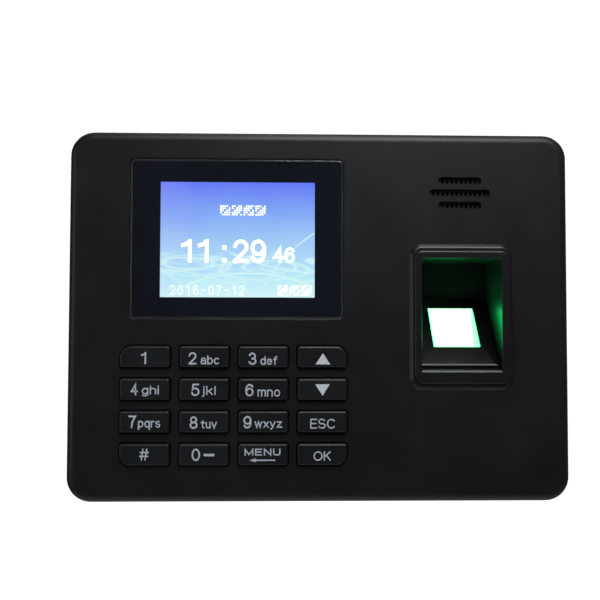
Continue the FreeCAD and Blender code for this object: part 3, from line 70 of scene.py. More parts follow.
class Surface:
    """A material with one Principled shader, and short names for the nodes that feed it."""

    def __init__(self, name, **constants):
        self.material = bpy.data.materials.new(name)
        self.material.use_nodes = True
        self.nodes = self.material.node_tree.nodes
        self.links = self.material.node_tree.links
        self.shader = next(n for n in self.nodes if n.type == "BSDF_PRINCIPLED")
        for socket, value in constants.items():
            self.shader.inputs[socket.replace("_", " ")].default_value = value
        self.place = self.nodes.new("ShaderNodeTexCoord").outputs["Object"]

    def node(self, kind, inputs=(), **settings):
        """A new node with its settings, whose inputs are given as (name or number, value or socket)."""
        made = self.nodes.new(kind)
        for key, value in settings.items():
            setattr(made, key, value)
        for key, value in inputs:
            if isinstance(value, bpy.types.NodeSocket):
                self.links.new(value, made.inputs[key])
            else:
                made.inputs[key].default_value = value
        return made

    def feed(self, socket, value):
        """Links a node's output to one of the shader's inputs."""
        self.links.new(value, self.shader.inputs[socket])

    def math(self, operation, first, second=0.0, third=0.0):
        inputs = [(0, first), (1, second), (2, third)]
        return self.node("ShaderNodeMath", inputs, operation=operation).outputs[0]

    def noise(self, size, detail=2.0, rough=0.5, distortion=0.0, place=None):
        """Noise from 0 to 1 with features of that size in mm."""
        inputs = [("Vector", place or self.place), ("Scale", 1.0 / (size * MM)),
                  ("Detail", detail), ("Roughness", rough), ("Distortion", distortion)]
        return self.node("ShaderNodeTexNoise", inputs).outputs[0]

    def cells(self, size):
        """Cells of that size in mm, each of its own random colour."""
        inputs = [("Vector", self.place), ("Scale", 1.0 / (size * MM))]
        return self.node("ShaderNodeTexVoronoi", inputs, feature="F1").outputs["Color"]

    def spread(self, value, low, high):
        """Maps 0.3..0.7, where noise mostly lies, to low..high."""
        inputs = [("Value", value), ("From Min", 0.3), ("From Max", 0.7), ("To Min", low), ("To Max", high)]
        return self.node("ShaderNodeMapRange", inputs).outputs[0]

    def ramp(self, value, stops):
        """Colour along value, from stops of (position, red, green, blue)."""
        made = self.node("ShaderNodeValToRGB", [("Fac", value)])
        elements = made.color_ramp.elements
        while len(elements) < len(stops):
            elements.new(0.5)
        for element, (position, *rgb) in zip(elements, stops):
            element.position = position
            element.color = (*rgb, 1.0)
        return made.outputs["Color"]

    def blend(self, amount, first, second):
        """Mixes two colours by amount."""
        made = self.node("ShaderNodeMix", data_type="RGBA", blend_type="MIX")
        for socket, value in ((made.inputs[0], amount), (made.inputs[6], first), (made.inputs[7], second)):
            if isinstance(value, bpy.types.NodeSocket):
                self.links.new(value, socket)
            else:
                socket.default_value = value
        return made.outputs[2]

    def bump(self, *layers):
        """Bumps the shader's normal by layers of (height socket, depth in mm)."""
        normal = None
        for height, depth in layers:
            inputs = [("Height", height), ("Distance", depth * MM), ("Strength", 1.0)]
            if normal is not None:
                inputs.append(("Normal", normal))
            normal = self.node("ShaderNodeBump", inputs).outputs[0]
        self.feed("Normal", normal)


def grey(value, tint=(1.0, 1.0, 1.0)):
    return tuple(value * part for part in tint)


def moulded(name, dark, light, rough, grain=0.45, depth=0.004, **constants):
    """Moulded plastic: a fine eroded grain, slight cloudiness of colour, and uneven gloss."""
    tint = (0.97, 0.96, 1.08)
    surface = Surface(name, **constants)
    clouds = surface.noise(22.0, detail=3.0)
    texture = surface.noise(grain, detail=3.0, rough=0.6)
    surface.feed("Base Color", surface.ramp(clouds, [(0.35, *grey(dark, tint)), (0.65, *grey(light, tint))]))
    surface.feed("Roughness", surface.math("ADD", surface.spread(clouds, rough - 0.03, rough + 0.03),
                                           surface.spread(texture, -0.02, 0.02)))
    surface.bump((texture, depth), (surface.noise(40.0, detail=1.0), 0.02))
    return surface.material


def plain(name, dark, light, rough, size=3.0, depth=0.004, **constants):
    """An ordinary part's surface: two colours clouded together, uneven gloss and a fine bump."""
    surface = Surface(name, **constants)
    clouds = surface.noise(size, detail=4.0, rough=0.6)
    surface.feed("Base Color", surface.ramp(clouds, [(0.35, *dark), (0.65, *light)]))
    surface.feed("Roughness", surface.spread(clouds, rough - 0.06, rough + 0.06))
    surface.bump((surface.noise(size / 6.0, detail=3.0), depth))
    return surface.material


# --- materials --------------------------------------------------------------------------------

def make_galvanised(name):
    """Hot-dip zinc: crystals with slightly different greys and gloss."""
    surface = Surface(name, Metallic=0.9)
    crystal = surface.cells(4.0)
    tone = surface.node("ShaderNodeSeparateColor", [(0, crystal)]).outputs[0]
    surface.feed("Base Color", surface.ramp(tone, [(0.0, 0.50, 0.52, 0.54), (1.0, 0.60, 0.62, 0.64)]))
    surface.feed("Roughness", surface.math("MULTIPLY_ADD", tone, 0.08, 0.38))
    surface.bump((surface.noise(1.2, detail=3.0), 0.004))
    return surface.material


def make_brushed(name, light, rough):
    """Drawn steel: fine streaks along X."""
    streak = 0.25
    surface = Surface(name, Metallic=1.0)
    stretched = surface.node("ShaderNodeMapping", [("Vector", surface.place), ("Scale", (0.04, 1.0, 1.0))])
    streaks = surface.noise(streak, detail=3.0, place=stretched.outputs[0])
    tone = surface.ramp(streaks, [(0.3, *grey(light * 0.82)), (0.7, *grey(light))])
    surface.feed("Base Color", tone)
    surface.feed("Roughness", surface.spread(streaks, rough - 0.05, rough + 0.08))
    surface.bump((streaks, 0.003))
    return surface.material


def make_board(name):
    """Green solder mask over copper: broad pours with narrow gaps between them."""
    surface = Surface(name)
    tracks = surface.node("ShaderNodeTexBrick", [
        ("Vector", surface.node("ShaderNodeMapping", [("Vector", surface.place),
                                                      ("Rotation", (math.radians(90), 0, 0))]).outputs[0]),
        ("Scale", 120.0), ("Mortar Size", 0.02), ("Color1", (0.010, 0.075, 0.028, 1)),
        ("Color2", (0.014, 0.095, 0.036, 1)), ("Mortar", (0.006, 0.048, 0.018, 1))])
    surface.feed("Base Color", tracks.outputs["Color"])
    surface.feed("Roughness", surface.spread(surface.noise(2.0), 0.28, 0.40))
    surface.bump((tracks.outputs["Fac"], 0.02))
    return surface.material


def make_acrylic(name):
    """Clear cast acrylic, with the faintest waviness."""
    surface = Surface(name, Transmission_Weight=1.0, IOR=1.49)
    haze = surface.noise(9.0, detail=2.0)
    surface.feed("Base Color", surface.ramp(haze, [(0.3, 0.985, 0.99, 1.0), (0.7, 1.0, 1.0, 1.0)]))
    surface.feed("Roughness", surface.spread(haze, 0.0, 0.02))
    surface.bump((surface.noise(16.0, detail=1.0), 0.006))
    return surface.material


def make_window_print(name):
    """The black print behind the acrylic: dense ink with a slight blue cast."""
    surface = Surface(name, Specular_IOR_Level=0.0)
    clouds = surface.noise(12.0)
    ink = surface.ramp(clouds, [(0.3, 0.0105, 0.0130, 0.0195), (0.7, 0.0130, 0.0158, 0.0235)])
    surface.feed("Base Color", ink)
    surface.feed("Roughness", surface.spread(clouds, 0.5, 0.6))
    return surface.material


def make_screen(name):
    """The lit picture: a sky that pales downwards over rippled water, and black outside the lit area."""
    surface = Surface(name, Roughness=0.2, Emission_Strength=1.0)
    split = surface.node("ShaderNodeSeparateXYZ", [(0, surface.place)])
    across = surface.math("MULTIPLY_ADD", split.outputs["X"], 1.0 / MM, -SCREEN_X)
    up = surface.math("MULTIPLY_ADD", split.outputs["Z"], 1.0 / MM, -SCREEN_Z)

    cloud = surface.math("SUBTRACT", surface.noise(30.0, detail=2.0), 0.5)
    height = surface.math("MULTIPLY_ADD", up, 1.0 / SCREEN_HIGH, 0.5)
    height = surface.math("MULTIPLY_ADD", cloud, 0.18, height)
    sky = surface.ramp(height, [
        (0.00, 0.70, 0.97, 1.00), (0.16, 0.50, 0.88, 1.00), (0.30, 0.45, 0.76, 1.00),
        (0.50, 0.38, 0.62, 0.99), (0.72, 0.24, 0.42, 0.98), (1.00, 0.135, 0.205, 0.98)])
    left = surface.node("ShaderNodeMapRange", [("Value", across), ("From Min", -14.0), ("From Max", -31.0)])
    colour = surface.blend(surface.math("MULTIPLY", left.outputs[0], 0.14), sky, (0.62, 0.50, 1.0, 1.0))

    ripples = [
        # centre across and up, half width, half height, line width, strength
        (-18.2, -8.8, 9.2, 2.2, 0.20, 0.80),
        (-16.5, -9.6, 13.5, 3.9, 0.12, 0.75),
        (12.0, -10.2, 9.8, 2.3, 0.18, 0.75),
        (10.0, -11.4, 16.5, 3.6, 0.12, 0.75),
        (4.0, -30.0, 34.0, 17.4, 0.035, 0.95),
        (-30.0, 20.0, 60.0, 32.0, 0.018, 0.90),
        (34.0, 24.0, 60.0, 36.5, 0.016, 0.90),
        (-40.0, -38.0, 60.0, 27.5, 0.018, 0.80),
        (58.0, -44.0, 55.0, 55.0, 0.010, 0.85),
        (-4.0, -13.6, 21.0, 2.6, 0.10, 0.60),
    ]
    lines = None
    for centre_x, centre_z, wide, high, line, strength in ripples:
        along = surface.math("DIVIDE", surface.math("SUBTRACT", across, centre_x), wide)
        rise = surface.math("DIVIDE", surface.math("SUBTRACT", up, centre_z), high)
        radius = surface.math("SQRT", surface.math("ADD", surface.math("MULTIPLY", along, along),
                                                   surface.math("MULTIPLY", rise, rise)))
        away = surface.math("ABSOLUTE", surface.math("SUBTRACT", radius, 1.0))
        fade = surface.node("ShaderNodeMapRange", [("Value", away), ("From Max", line), ("To Min", strength),
                                                   ("To Max", 0.0)], interpolation_type="SMOOTHSTEP")
        lines = fade.outputs[0] if lines is None else surface.math("MAXIMUM", lines, fade.outputs[0])
    # the rings fade out above a shore, which lies higher at the picture's right end
    shore_end, shore_start, shore_rise = -3.0, -6.0, 8.0
    right = surface.node("ShaderNodeMapRange", [("Value", across), ("From Min", 20.0), ("From Max", 26.0),
                                                ("To Max", shore_rise)])
    shore = surface.math("SUBTRACT", up, right.outputs[0])
    low = surface.node("ShaderNodeMapRange", [("Value", shore), ("From Min", shore_end),
                                              ("From Max", shore_start)])
    lines = surface.math("MULTIPLY", lines, low.outputs[0])
    # fine glints lie on the water between the rings, thickest about a line across it
    glint_middle, glint_reach, glint_full = -10.5, 6.5, 4.0
    flat = surface.node("ShaderNodeMapping", [("Vector", surface.place), ("Scale", (0.16, 1.0, 1.0))])
    glints = surface.node("ShaderNodeMapRange", [
        ("Value", surface.noise(1.5, detail=3.0, distortion=0.6, place=flat.outputs[0])),
        ("From Min", 0.50), ("From Max", 0.66), ("To Max", 0.75)])
    water = surface.node("ShaderNodeMapRange", [
        ("Value", surface.math("ABSOLUTE", surface.math("SUBTRACT", up, glint_middle))),
        ("From Min", glint_reach), ("From Max", glint_full)])
    lines = surface.math("MAXIMUM", lines, surface.math("MULTIPLY", glints.outputs[0], water.outputs[0]))
    colour = surface.blend(lines, colour, (0.72, 1.0, 0.99, 1.0))

    inside_x = surface.math("LESS_THAN", surface.math("ABSOLUTE", across), SCREEN_WIDE / 2)
    inside_z = surface.math("LESS_THAN", surface.math("ABSOLUTE", up), SCREEN_HIGH / 2)
    lit = surface.math("MULTIPLY", inside_x, inside_z)
    colour = surface.blend(lit, (0.0, 0.0, 0.0, 1.0), colour)
    surface.feed("Emission Color", colour)
    surface.feed("Base Color", surface.ramp(surface.noise(8.0), [(0.3, *grey(0.004)), (0.7, *grey(0.006))]))
    return surface.material


def make_ink(name, colour, strength=0.0):
    """Printed ink, or lit pixels when strength is above 0."""
    surface = Surface(name, Emission_Strength=strength)
    spots = surface.noise(0.25, detail=2.0)
    tone = surface.ramp(spots, [(0.3, *(0.93 * part for part in colour)), (0.7, *colour)])
    surface.feed("Base Color" if strength == 0.0 else "Emission Color", tone)
    surface.feed("Roughness", surface.spread(spots, 0.40, 0.50))
    return surface.material


def make_platen(name):
    """The prism's glass, which carries the green light of the diodes below it."""
    surface = Surface(name, Roughness=0.06, IOR=1.52, Emission_Strength=1.0)
    clouds = surface.spread(surface.noise(3.0), 0.95, 1.0)
    surface.feed("Emission Color", surface.blend(clouds, (0.10, 9.0, 1.8, 1.0), (0.12, 10.0, 2.0, 1.0)))
    surface.feed("Base Color", surface.ramp(clouds, [(0.9, 0.02, 0.05, 0.03), (1.0, 0.03, 0.06, 0.04)]))
    return surface.material


def make_platen_glow(name):
    """The lit face: too bright for a camera to see its green, except along its right side."""
    surface = Surface(name, Roughness=0.1, Emission_Strength=1.0)
    split = surface.node("ShaderNodeSeparateXYZ", [(0, surface.place)])
    from_middle = surface.math("SUBTRACT", split.outputs["X"], PLATEN_X * MM)
    across = surface.math("DIVIDE", from_middle, PLATEN_HALF * MM)
    height = surface.math("MULTIPLY_ADD", split.outputs["Z"], 1.0 / MM, -PLATEN_LOW)
    # the green strip starts here, as a part of the half width, and narrows upwards
    border_low, border_rise = 0.72, 0.0149
    border = surface.math("MULTIPLY_ADD", height, border_rise, border_low)
    past = surface.math("SUBTRACT", across, border)
    strip = surface.node("ShaderNodeMapRange", [("Value", past), ("From Min", -0.02), ("From Max", 0.03)])
    clouds = surface.spread(surface.noise(3.0), 0.97, 1.03)
    white = surface.blend(clouds, (0.97, 1.0, 0.98, 1.0), (1.0, 1.03, 1.0, 1.0))
    surface.feed("Emission Color", surface.blend(strip.outputs[0], white, (0.55, 1.0, 0.78, 1.0)))
    surface.feed("Base Color", surface.ramp(clouds, [(0.9, *grey(0.02)), (1.0, *grey(0.03))]))
    return surface.material


MATERIALS = {
    "case_plastic": moulded("case_plastic_look", 0.0070, 0.0092, 0.46, grain=0.5, depth=0.006),
    "key_plastic": moulded("key_plastic_look", 0.0112, 0.0138, 0.42, grain=0.4, depth=0.004),
    "bezel_plastic": moulded("bezel_plastic_look", 0.0118, 0.0146, 0.34, grain=0.4, depth=0.003),
    "sensor_plastic": moulded("sensor_plastic_look", 0.0050, 0.0065, 0.13, grain=0.4, depth=0.0015,
                              Specular_IOR_Level=0.20),
    "platen_glass": make_platen("platen_look"),
    "lens_glass": plain("lens_look", (0.7, 0.8, 0.78), (0.8, 0.9, 0.88), 0.08, Transmission_Weight=0.9),
    "window_acrylic": make_acrylic("acrylic_look"),
    "screen_glass": make_screen("screen_look"),
    "backlight_white": plain("backlight_look", (0.72, 0.73, 0.74), (0.80, 0.81, 0.82), 0.45),
    "lcd_steel": make_brushed("lcd_steel_look", 0.60, 0.28),
    "flex_polyimide": plain("polyimide_look", (0.36, 0.16, 0.03), (0.46, 0.22, 0.05), 0.35),
    "ribbon_vinyl": plain("ribbon_look", (0.36, 0.37, 0.38), (0.44, 0.45, 0.46), 0.5, size=1.2),
    "board_laminate": make_board("board_look"),
    "chip_epoxy": plain("chip_look", (0.012, 0.012, 0.013), (0.018, 0.018, 0.019), 0.55, size=0.8),
    "connector_nylon": plain("nylon_look", (0.62, 0.58, 0.48), (0.70, 0.66, 0.56), 0.45, size=1.5),
    "membrane_silicone": plain("silicone_look", (0.16, 0.17, 0.18), (0.20, 0.21, 0.22), 0.6, size=2.0),
    "foam": plain("foam_look", (0.010, 0.010, 0.010), (0.022, 0.022, 0.022), 0.95, size=0.5, depth=0.05),
    "tape": plain("tape_look", (0.30, 0.28, 0.22), (0.36, 0.34, 0.28), 0.5, size=1.5),
    "socket_steel": make_brushed("socket_steel_look", 0.66, 0.22),
    "socket_plastic": moulded("socket_plastic_look", 0.010, 0.013, 0.50),
    "contact_brass": plain("brass_look", (0.62, 0.44, 0.18), (0.74, 0.55, 0.26), 0.25, Metallic=1.0),
    "speaker_paper": plain("paper_look", (0.020, 0.019, 0.018), (0.035, 0.033, 0.031), 0.85, size=0.6,
                           depth=0.02),
    "speaker_steel": make_brushed("speaker_steel_look", 0.50, 0.35),
    "lead_vinyl": plain("lead_look", (0.30, 0.012, 0.010), (0.40, 0.020, 0.015), 0.38, size=1.0),
    "cell_steel": make_brushed("cell_look", 0.68, 0.24),
    "holder_plastic": moulded("holder_look", 0.012, 0.016, 0.50),
    "led_epoxy": plain("led_look", (0.55, 0.68, 0.58), (0.65, 0.78, 0.66), 0.15, size=0.6),
    "case_screw_steel": plain("case_screw_look", (0.020, 0.020, 0.022), (0.045, 0.045, 0.048), 0.40, size=0.5,
                              Metallic=0.8),
    "board_screw_steel": plain("board_screw_look", (0.50, 0.51, 0.52), (0.62, 0.63, 0.64), 0.30, size=0.5,
                               Metallic=1.0),
    "plate_steel": make_galvanised("galvanised_look"),
}
PRINT_INK = make_window_print("window_print_look")
# painted highlight: a paler band along the window's edge, standing in for the light that its rounded edge
# catches
EDGE_HIGHLIGHT = make_ink("window_edge_highlight_look", (0.024, 0.025, 0.027))
LEGEND_INK = make_ink("legend_ink_look", (0.66, 0.73, 0.81))
ARROW_INK = make_ink("arrow_ink_look", (0.88, 0.93, 0.98))
PIXEL_WHITE = make_ink("pixel_white_look", (1.0, 1.0, 1.0), strength=1.15)
PIXEL_PALE = make_ink("pixel_pale_look", (0.80, 0.99, 0.93), strength=0.97)
PLATEN_GLOW = make_platen_glow("platen_glow_look")


def paint_cad_nodes():
    """Gives every CAD node the look of its slot in the record."""
    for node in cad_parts.values():
        for slot in node.material_slots:
            slot.material = MATERIALS[slot.material.name.split(".")[0]]


# --- pieces -----------------------------------------------------------------------------------

def add_mesh(name, mesh, material, body=TERMINAL):
    """Adds a mesh as a piece riding on a body."""
    piece = bpy.data.objects.new(name, mesh)
    bpy.context.scene.collection.objects.link(piece)
    mesh.materials.clear()
    mesh.materials.append(material)
    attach(piece, body)
    return piece


def arc(centre_x, centre_z, wide, high, start, end):
    """Points of an elliptic arc with those half sizes, from start to end in degrees."""
    steps = max(3, round(abs(end - start) / 15))
    angles = [math.radians(start + (end - start) * step / steps) for step in range(steps + 1)]
    return [(centre_x + wide * math.cos(angle), centre_z + high * math.sin(angle)) for angle in angles]


def glyphs():
    """Each sign as strokes along its centre lines: capitals and digits are 1 high, small letters 0.7."""
    stem = [(0.0, 1.0), (0.0, 0.0)]
    short_stem = [(0.0, 0.7), (0.0, 0.0)]
    left_bowl = arc(0.24, 0.35, 0.24, 0.35, 0, 360)
    right_stem = [(0.48, 1.0), (0.48, 0.0)]
    cross_bar = [(0.0, 0.68), (0.30, 0.68)]
    return {
        "0": [arc(0.30, 0.50, 0.28, 0.50, 0, 360)],
        "1": [[(0.29, 1.0), (0.29, 0.0)], [(0.12, 0.79), (0.19, 0.83), (0.26, 0.93)]],
        "2": [arc(0.29, 0.71, 0.27, 0.29, 172, -38) + [(0.02, 0.0)], [(0.02, 0.0), (0.58, 0.0)]],
        "3": [arc(0.27, 0.745, 0.24, 0.255, 160, -90), arc(0.28, 0.255, 0.28, 0.255, 90, -165)],
        "4": [[(0.43, 0.0), (0.43, 1.0), (0.0, 0.30), (0.60, 0.30)]],
        "5": [[(0.53, 1.0), (0.12, 1.0), (0.05, 0.52)] + arc(0.28, 0.32, 0.29, 0.32, 135, -160)],
        "6": [arc(0.31, 0.60, 0.29, 0.40, 35, 180) + [(0.02, 0.32)], arc(0.30, 0.32, 0.27, 0.32, 0, 360)],
        "7": [[(0.0, 1.0), (0.56, 1.0), (0.38, 0.70), (0.26, 0.36), (0.21, 0.0)]],
        "8": [arc(0.30, 0.755, 0.24, 0.245, 0, 360), arc(0.30, 0.26, 0.28, 0.26, 0, 360)],
        "9": [arc(0.28, 0.40, 0.29, 0.40, -145, 0) + [(0.57, 0.68)], arc(0.29, 0.68, 0.27, 0.32, 0, 360)],
        "-": [[(0.0, 0.5), (0.5, 0.5)]],
        "#": [[(0.12, 0.0), (0.24, 1.0)], [(0.42, 0.0), (0.54, 1.0)],
              [(0.0, 0.32), (0.62, 0.32)], [(0.04, 0.68), (0.66, 0.68)]],
        "C": [arc(0.36, 0.5, 0.36, 0.5, 42, 318)],
        "E": [[(0.50, 1.0), (0.0, 1.0), (0.0, 0.0), (0.52, 0.0)], [(0.0, 0.52), (0.47, 0.52)]],
        "K": [stem, [(0.54, 1.0), (0.0, 0.38)], [(0.20, 0.60), (0.56, 0.0)]],
        "M": [[(0.0, 0.0), (0.0, 1.0), (0.34, 0.06), (0.68, 1.0), (0.68, 0.0)]],
        "N": [[(0.0, 0.0), (0.0, 1.0), (0.56, 0.0), (0.56, 1.0)]],
        "O": [arc(0.38, 0.5, 0.38, 0.5, 0, 360)],
        "S": [arc(0.29, 0.75, 0.26, 0.25, 28, 245) + arc(0.30, 0.26, 0.29, 0.26, 68, -158)],
        "U": [[(0.0, 1.0)] + arc(0.28, 0.30, 0.28, 0.30, 180, 360) + [(0.56, 1.0)]],
        "a": [arc(0.25, 0.48, 0.22, 0.22, 160, 0) + [(0.47, 0.0)],
              [(0.47, 0.42)] + arc(0.22, 0.20, 0.22, 0.20, 90, 285) + [(0.47, 0.14)]],
        "b": [stem, left_bowl],
        "c": [arc(0.25, 0.35, 0.25, 0.35, 50, 310)],
        "d": [left_bowl, right_stem],
        "e": [[(0.02, 0.38), (0.49, 0.38)] + arc(0.25, 0.35, 0.25, 0.35, 5, 320)],
        "f": [arc(0.30, 0.82, 0.17, 0.18, 80, 180) + [(0.13, 0.0)], cross_bar],
        "g": [left_bowl, [(0.48, 0.7)] + arc(0.24, -0.08, 0.24, 0.20, 0, -150)],
        "h": [stem, arc(0.23, 0.46, 0.23, 0.24, 180, 0) + [(0.46, 0.0)]],
        "i": [short_stem, [(0.0, 0.94), (0.0, 1.0)]],
        "j": [[(0.12, 0.7)] + arc(0.0, -0.14, 0.12, 0.14, 0, -90), [(0.12, 0.94), (0.12, 1.0)]],
        "k": [stem, [(0.42, 0.7), (0.0, 0.27)], [(0.16, 0.43), (0.45, 0.0)]],
        "l": [stem],
        "m": [short_stem, arc(0.18, 0.50, 0.18, 0.20, 180, 0) + [(0.36, 0.0)],
              arc(0.54, 0.50, 0.18, 0.20, 180, 0) + [(0.72, 0.0)]],
        "n": [short_stem, arc(0.22, 0.47, 0.22, 0.23, 180, 0) + [(0.44, 0.0)]],
        "o": [arc(0.25, 0.35, 0.25, 0.35, 0, 360)],
        "p": [[(0.0, 0.7), (0.0, -0.28)], left_bowl],
        "q": [left_bowl, [(0.48, 0.7), (0.48, -0.28)]],
        "r": [short_stem, arc(0.22, 0.46, 0.22, 0.24, 180, 78)],
        "s": [arc(0.21, 0.525, 0.19, 0.175, 30, 245) + arc(0.22, 0.18, 0.20, 0.18, 68, -155)],
        "t": [[(0.13, 0.92)] + arc(0.27, 0.14, 0.14, 0.14, 180, 270), cross_bar],
        "u": [[(0.0, 0.7)] + arc(0.22, 0.23, 0.22, 0.23, 180, 360), [(0.44, 0.7), (0.44, 0.0)]],
        "v": [[(0.0, 0.7), (0.23, 0.0), (0.46, 0.7)]],
        "w": [[(0.0, 0.7), (0.17, 0.0), (0.34, 0.7), (0.51, 0.0), (0.68, 0.7)]],
        "x": [[(0.0, 0.7), (0.44, 0.0)], [(0.44, 0.7), (0.0, 0.0)]],
        "y": [[(0.0, 0.7), (0.23, 0.0)], [(0.46, 0.7), (0.17, -0.16), (0.03, -0.26)]],
        "z": [[(0.0, 0.7), (0.42, 0.7), (0.0, 0.0), (0.44, 0.0)]],
    }


GLYPHS = glyphs()
SHARPEST_MITRE = 0.35       # keeps a sharp corner's point short
LAYER_STEP = 0.002          # mm between crossing strokes, so that none lies in another's plane


def stroke_outline(line, wide):
    """The two sides of a stroke of that width along a line, with mitred corners and square ends."""
    closed = math.dist(line[0], line[-1]) < 1e-6
    line = [Vector(place) for place in line]
    if closed:
        line = line[:-1]
    else:
        line[0] = line[0] + (line[0] - line[1]).normalized() * wide / 2
        line[-1] = line[-1] + (line[-1] - line[-2]).normalized() * wide / 2
    sides = []
    for index, place in enumerate(line):
        before = line[index - 1] if closed or index > 0 else None
        after = line[(index + 1) % len(line)] if closed or index < len(line) - 1 else None
        into = (place - before).normalized() if before is not None else (after - place).normalized()
        onward = (after - place).normalized() if after is not None else into
        across = Vector((-(into.y + onward.y), into.x + onward.x))
        across.normalize()
        reach = wide / 2 / max(SHARPEST_MITRE, across.dot(Vector((-into.y, into.x))))
        sides.append((place + across * reach, place - across * reach))
    if closed:
        sides.append(sides[0])
    return sides


def lettering(text, left, right, base, high, stroke, out, thick):
    """A mesh of text in strokes: from left to right on a base line, capitals high mm tall over all."""
    gap = 0.5 * stroke / high + 0.17        # between two signs, as a part of the height
    pen, lines = 0.0, []
    for sign in text:
        strokes = GLYPHS[sign]
        low = min(x for line in strokes for x, z in line)
        wide = max(x for line in strokes for x, z in line) - low
        lines += [[(x - low + pen, z) for x, z in line] for line in strokes]
        pen += wide + gap
    full = max(pen - gap, 1e-6)
    scale_x = (right - left - stroke) / full
    scale_z = high - stroke
    mesh = bpy.data.meshes.new("lettering")
    work = bmesh.new()
    for index, line in enumerate(lines):
        layer = out + LAYER_STEP * index
        placed = [(left + stroke / 2 + x * scale_x, base + stroke / 2 + z * scale_z) for x, z in line]
        corners = [[work.verts.new(point(side.x, layer, side.y)) for side in pair]
                   for pair in stroke_outline(placed, stroke)]
        for (a, b), (c, d) in zip(corners, corners[1:]):
            work.faces.new((a, b, d, c))
    work.to_mesh(mesh)
    work.free()
    thicken(mesh, thick)
    return mesh


def thicken(mesh, thick):
    """Extrudes a flat mesh outwards by thick mm."""
    work = bmesh.new()
    work.from_mesh(mesh)
    grown = bmesh.ops.extrude_face_region(work, geom=work.faces[:])
    moved = [item for item in grown["geom"] if isinstance(item, bmesh.types.BMVert)]
    bmesh.ops.translate(work, verts=moved, vec=(0.0, -thick * MM, 0.0))
    bmesh.ops.recalc_face_normals(work, faces=work.faces)
    work.to_mesh(mesh)
    work.free()


def polygon_mesh(outlines, out, thick):
    """A mesh of flat outlines, each a list of (x, z) in mm, standing thick mm out."""
    mesh = bpy.data.meshes.new("polygons")
    work = bmesh.new()
    for outline in outlines:
        work.faces.new([work.verts.new(point(x, out, z)) for x, z in outline])
    work.to_mesh(mesh)
    work.free()
    thicken(mesh, thick)
    return mesh


def join(meshes):
    """One mesh of several."""
    work = bmesh.new()
    for mesh in meshes:
        work.from_mesh(mesh)
    joined = bpy.data.meshes.new("joined")
    work.to_mesh(joined)
    work.free()
    return joined


def bar(left, right, bottom, top):
    return [(left, bottom), (right, bottom), (right, top), (left, top)]


def rounded_outline(left, right, bottom, top, radius):
    """A rectangle's outline with rounded corners, anticlockwise from the bottom right."""
    steps = 8
    outline = []
    for turn, (x, z) in enumerate([(right - radius, bottom + radius), (right - radius, top - radius),
                                   (left + radius, top - radius), (left + radius, bottom + radius)]):
        for step in range(steps + 1):
            angle = math.radians(-90 + 90 * (turn + step / steps))
            outline.append((x + radius * math.cos(angle), z + radius * math.sin(angle)))
    return outline


def ring_mesh(outer, inner, out):
    """A flat ring between two outlines with as many points each."""
    mesh = bpy.data.meshes.new("ring")
    work = bmesh.new()
    outside = [work.verts.new(point(x, out, z)) for x, z in outer]
    inside = [work.verts.new(point(x, out, z)) for x, z in inner]
    for index in range(len(outside)):
        following = (index + 1) % len(outside)
        work.faces.new((outside[index], outside[following], inside[following], inside[index]))
    bmesh.ops.recalc_face_normals(work, faces=work.faces)
    work.to_mesh(mesh)
    work.free()
    return mesh


def add_window_print():
    """The black print on the back of the window, clear over the picture, and a paler band along the window's
    edge, which is a painted highlight of that rounded edge catching light.
    """
    def inset(by, radius):
        return rounded_outline(WINDOW_LEFT + by, WINDOW_RIGHT - by,
                               WINDOW_BOTTOM + by, WINDOW_TOP - by, radius)

    # the paler band between the outer two insets is painted highlight, where the window's rounded edge
    # catches light
    highlight_inset, ink_inset = 0.25, 0.60
    highlight_corner, ink_corner, clear_corner = 1.6, 1.4, 0.15
    half_wide, half_high = SCREEN_WIDE / 2, SCREEN_HIGH / 2
    clear = rounded_outline(SCREEN_X - half_wide + PRINT_LAP, SCREEN_X + half_wide, SCREEN_Z - half_high,
                            SCREEN_Z + half_high - PRINT_LAP, clear_corner)
    ink_edge = inset(ink_inset, ink_corner)
    add_mesh("window_print", ring_mesh(ink_edge, clear, PRINT_OUT), PRINT_INK)
    # the paler ring is a painted highlight of the window's edge, not a colour of the print
    add_mesh("window_edge_highlight", ring_mesh(inset(highlight_inset, highlight_corner), ink_edge, PRINT_OUT), EDGE_HIGHLIGHT)


def add_platen_glow():
    """The prism's lit face, a film just above the glass that lights nothing by itself."""
    lift, inset = 0.02, 0.03
    up_out, up_z = math.cos(PLATEN_SLOPE) * lift, math.sin(PLATEN_SLOPE) * lift
    corners = []
    for side, z in ((-1, PLATEN_LOW + inset), (1, PLATEN_LOW + inset),
                    (1, PLATEN_HIGH - inset), (-1, PLATEN_HIGH - inset)):
        out = PLATEN_LOW_OUT - (z - PLATEN_LOW) * math.tan(PLATEN_SLOPE)
        corners.append(point(PLATEN_X + side * (PLATEN_HALF - inset), out + up_out, z + up_z))
    mesh = bpy.data.meshes.new("platen_glow")
    mesh.from_pydata([tuple(corner) for corner in corners], [], [(0, 1, 2, 3)])
    film = add_mesh("platen_glow", mesh, PLATEN_GLOW)
    film.visible_glossy = False
    film.visible_diffuse = False
    film.visible_shadow = False


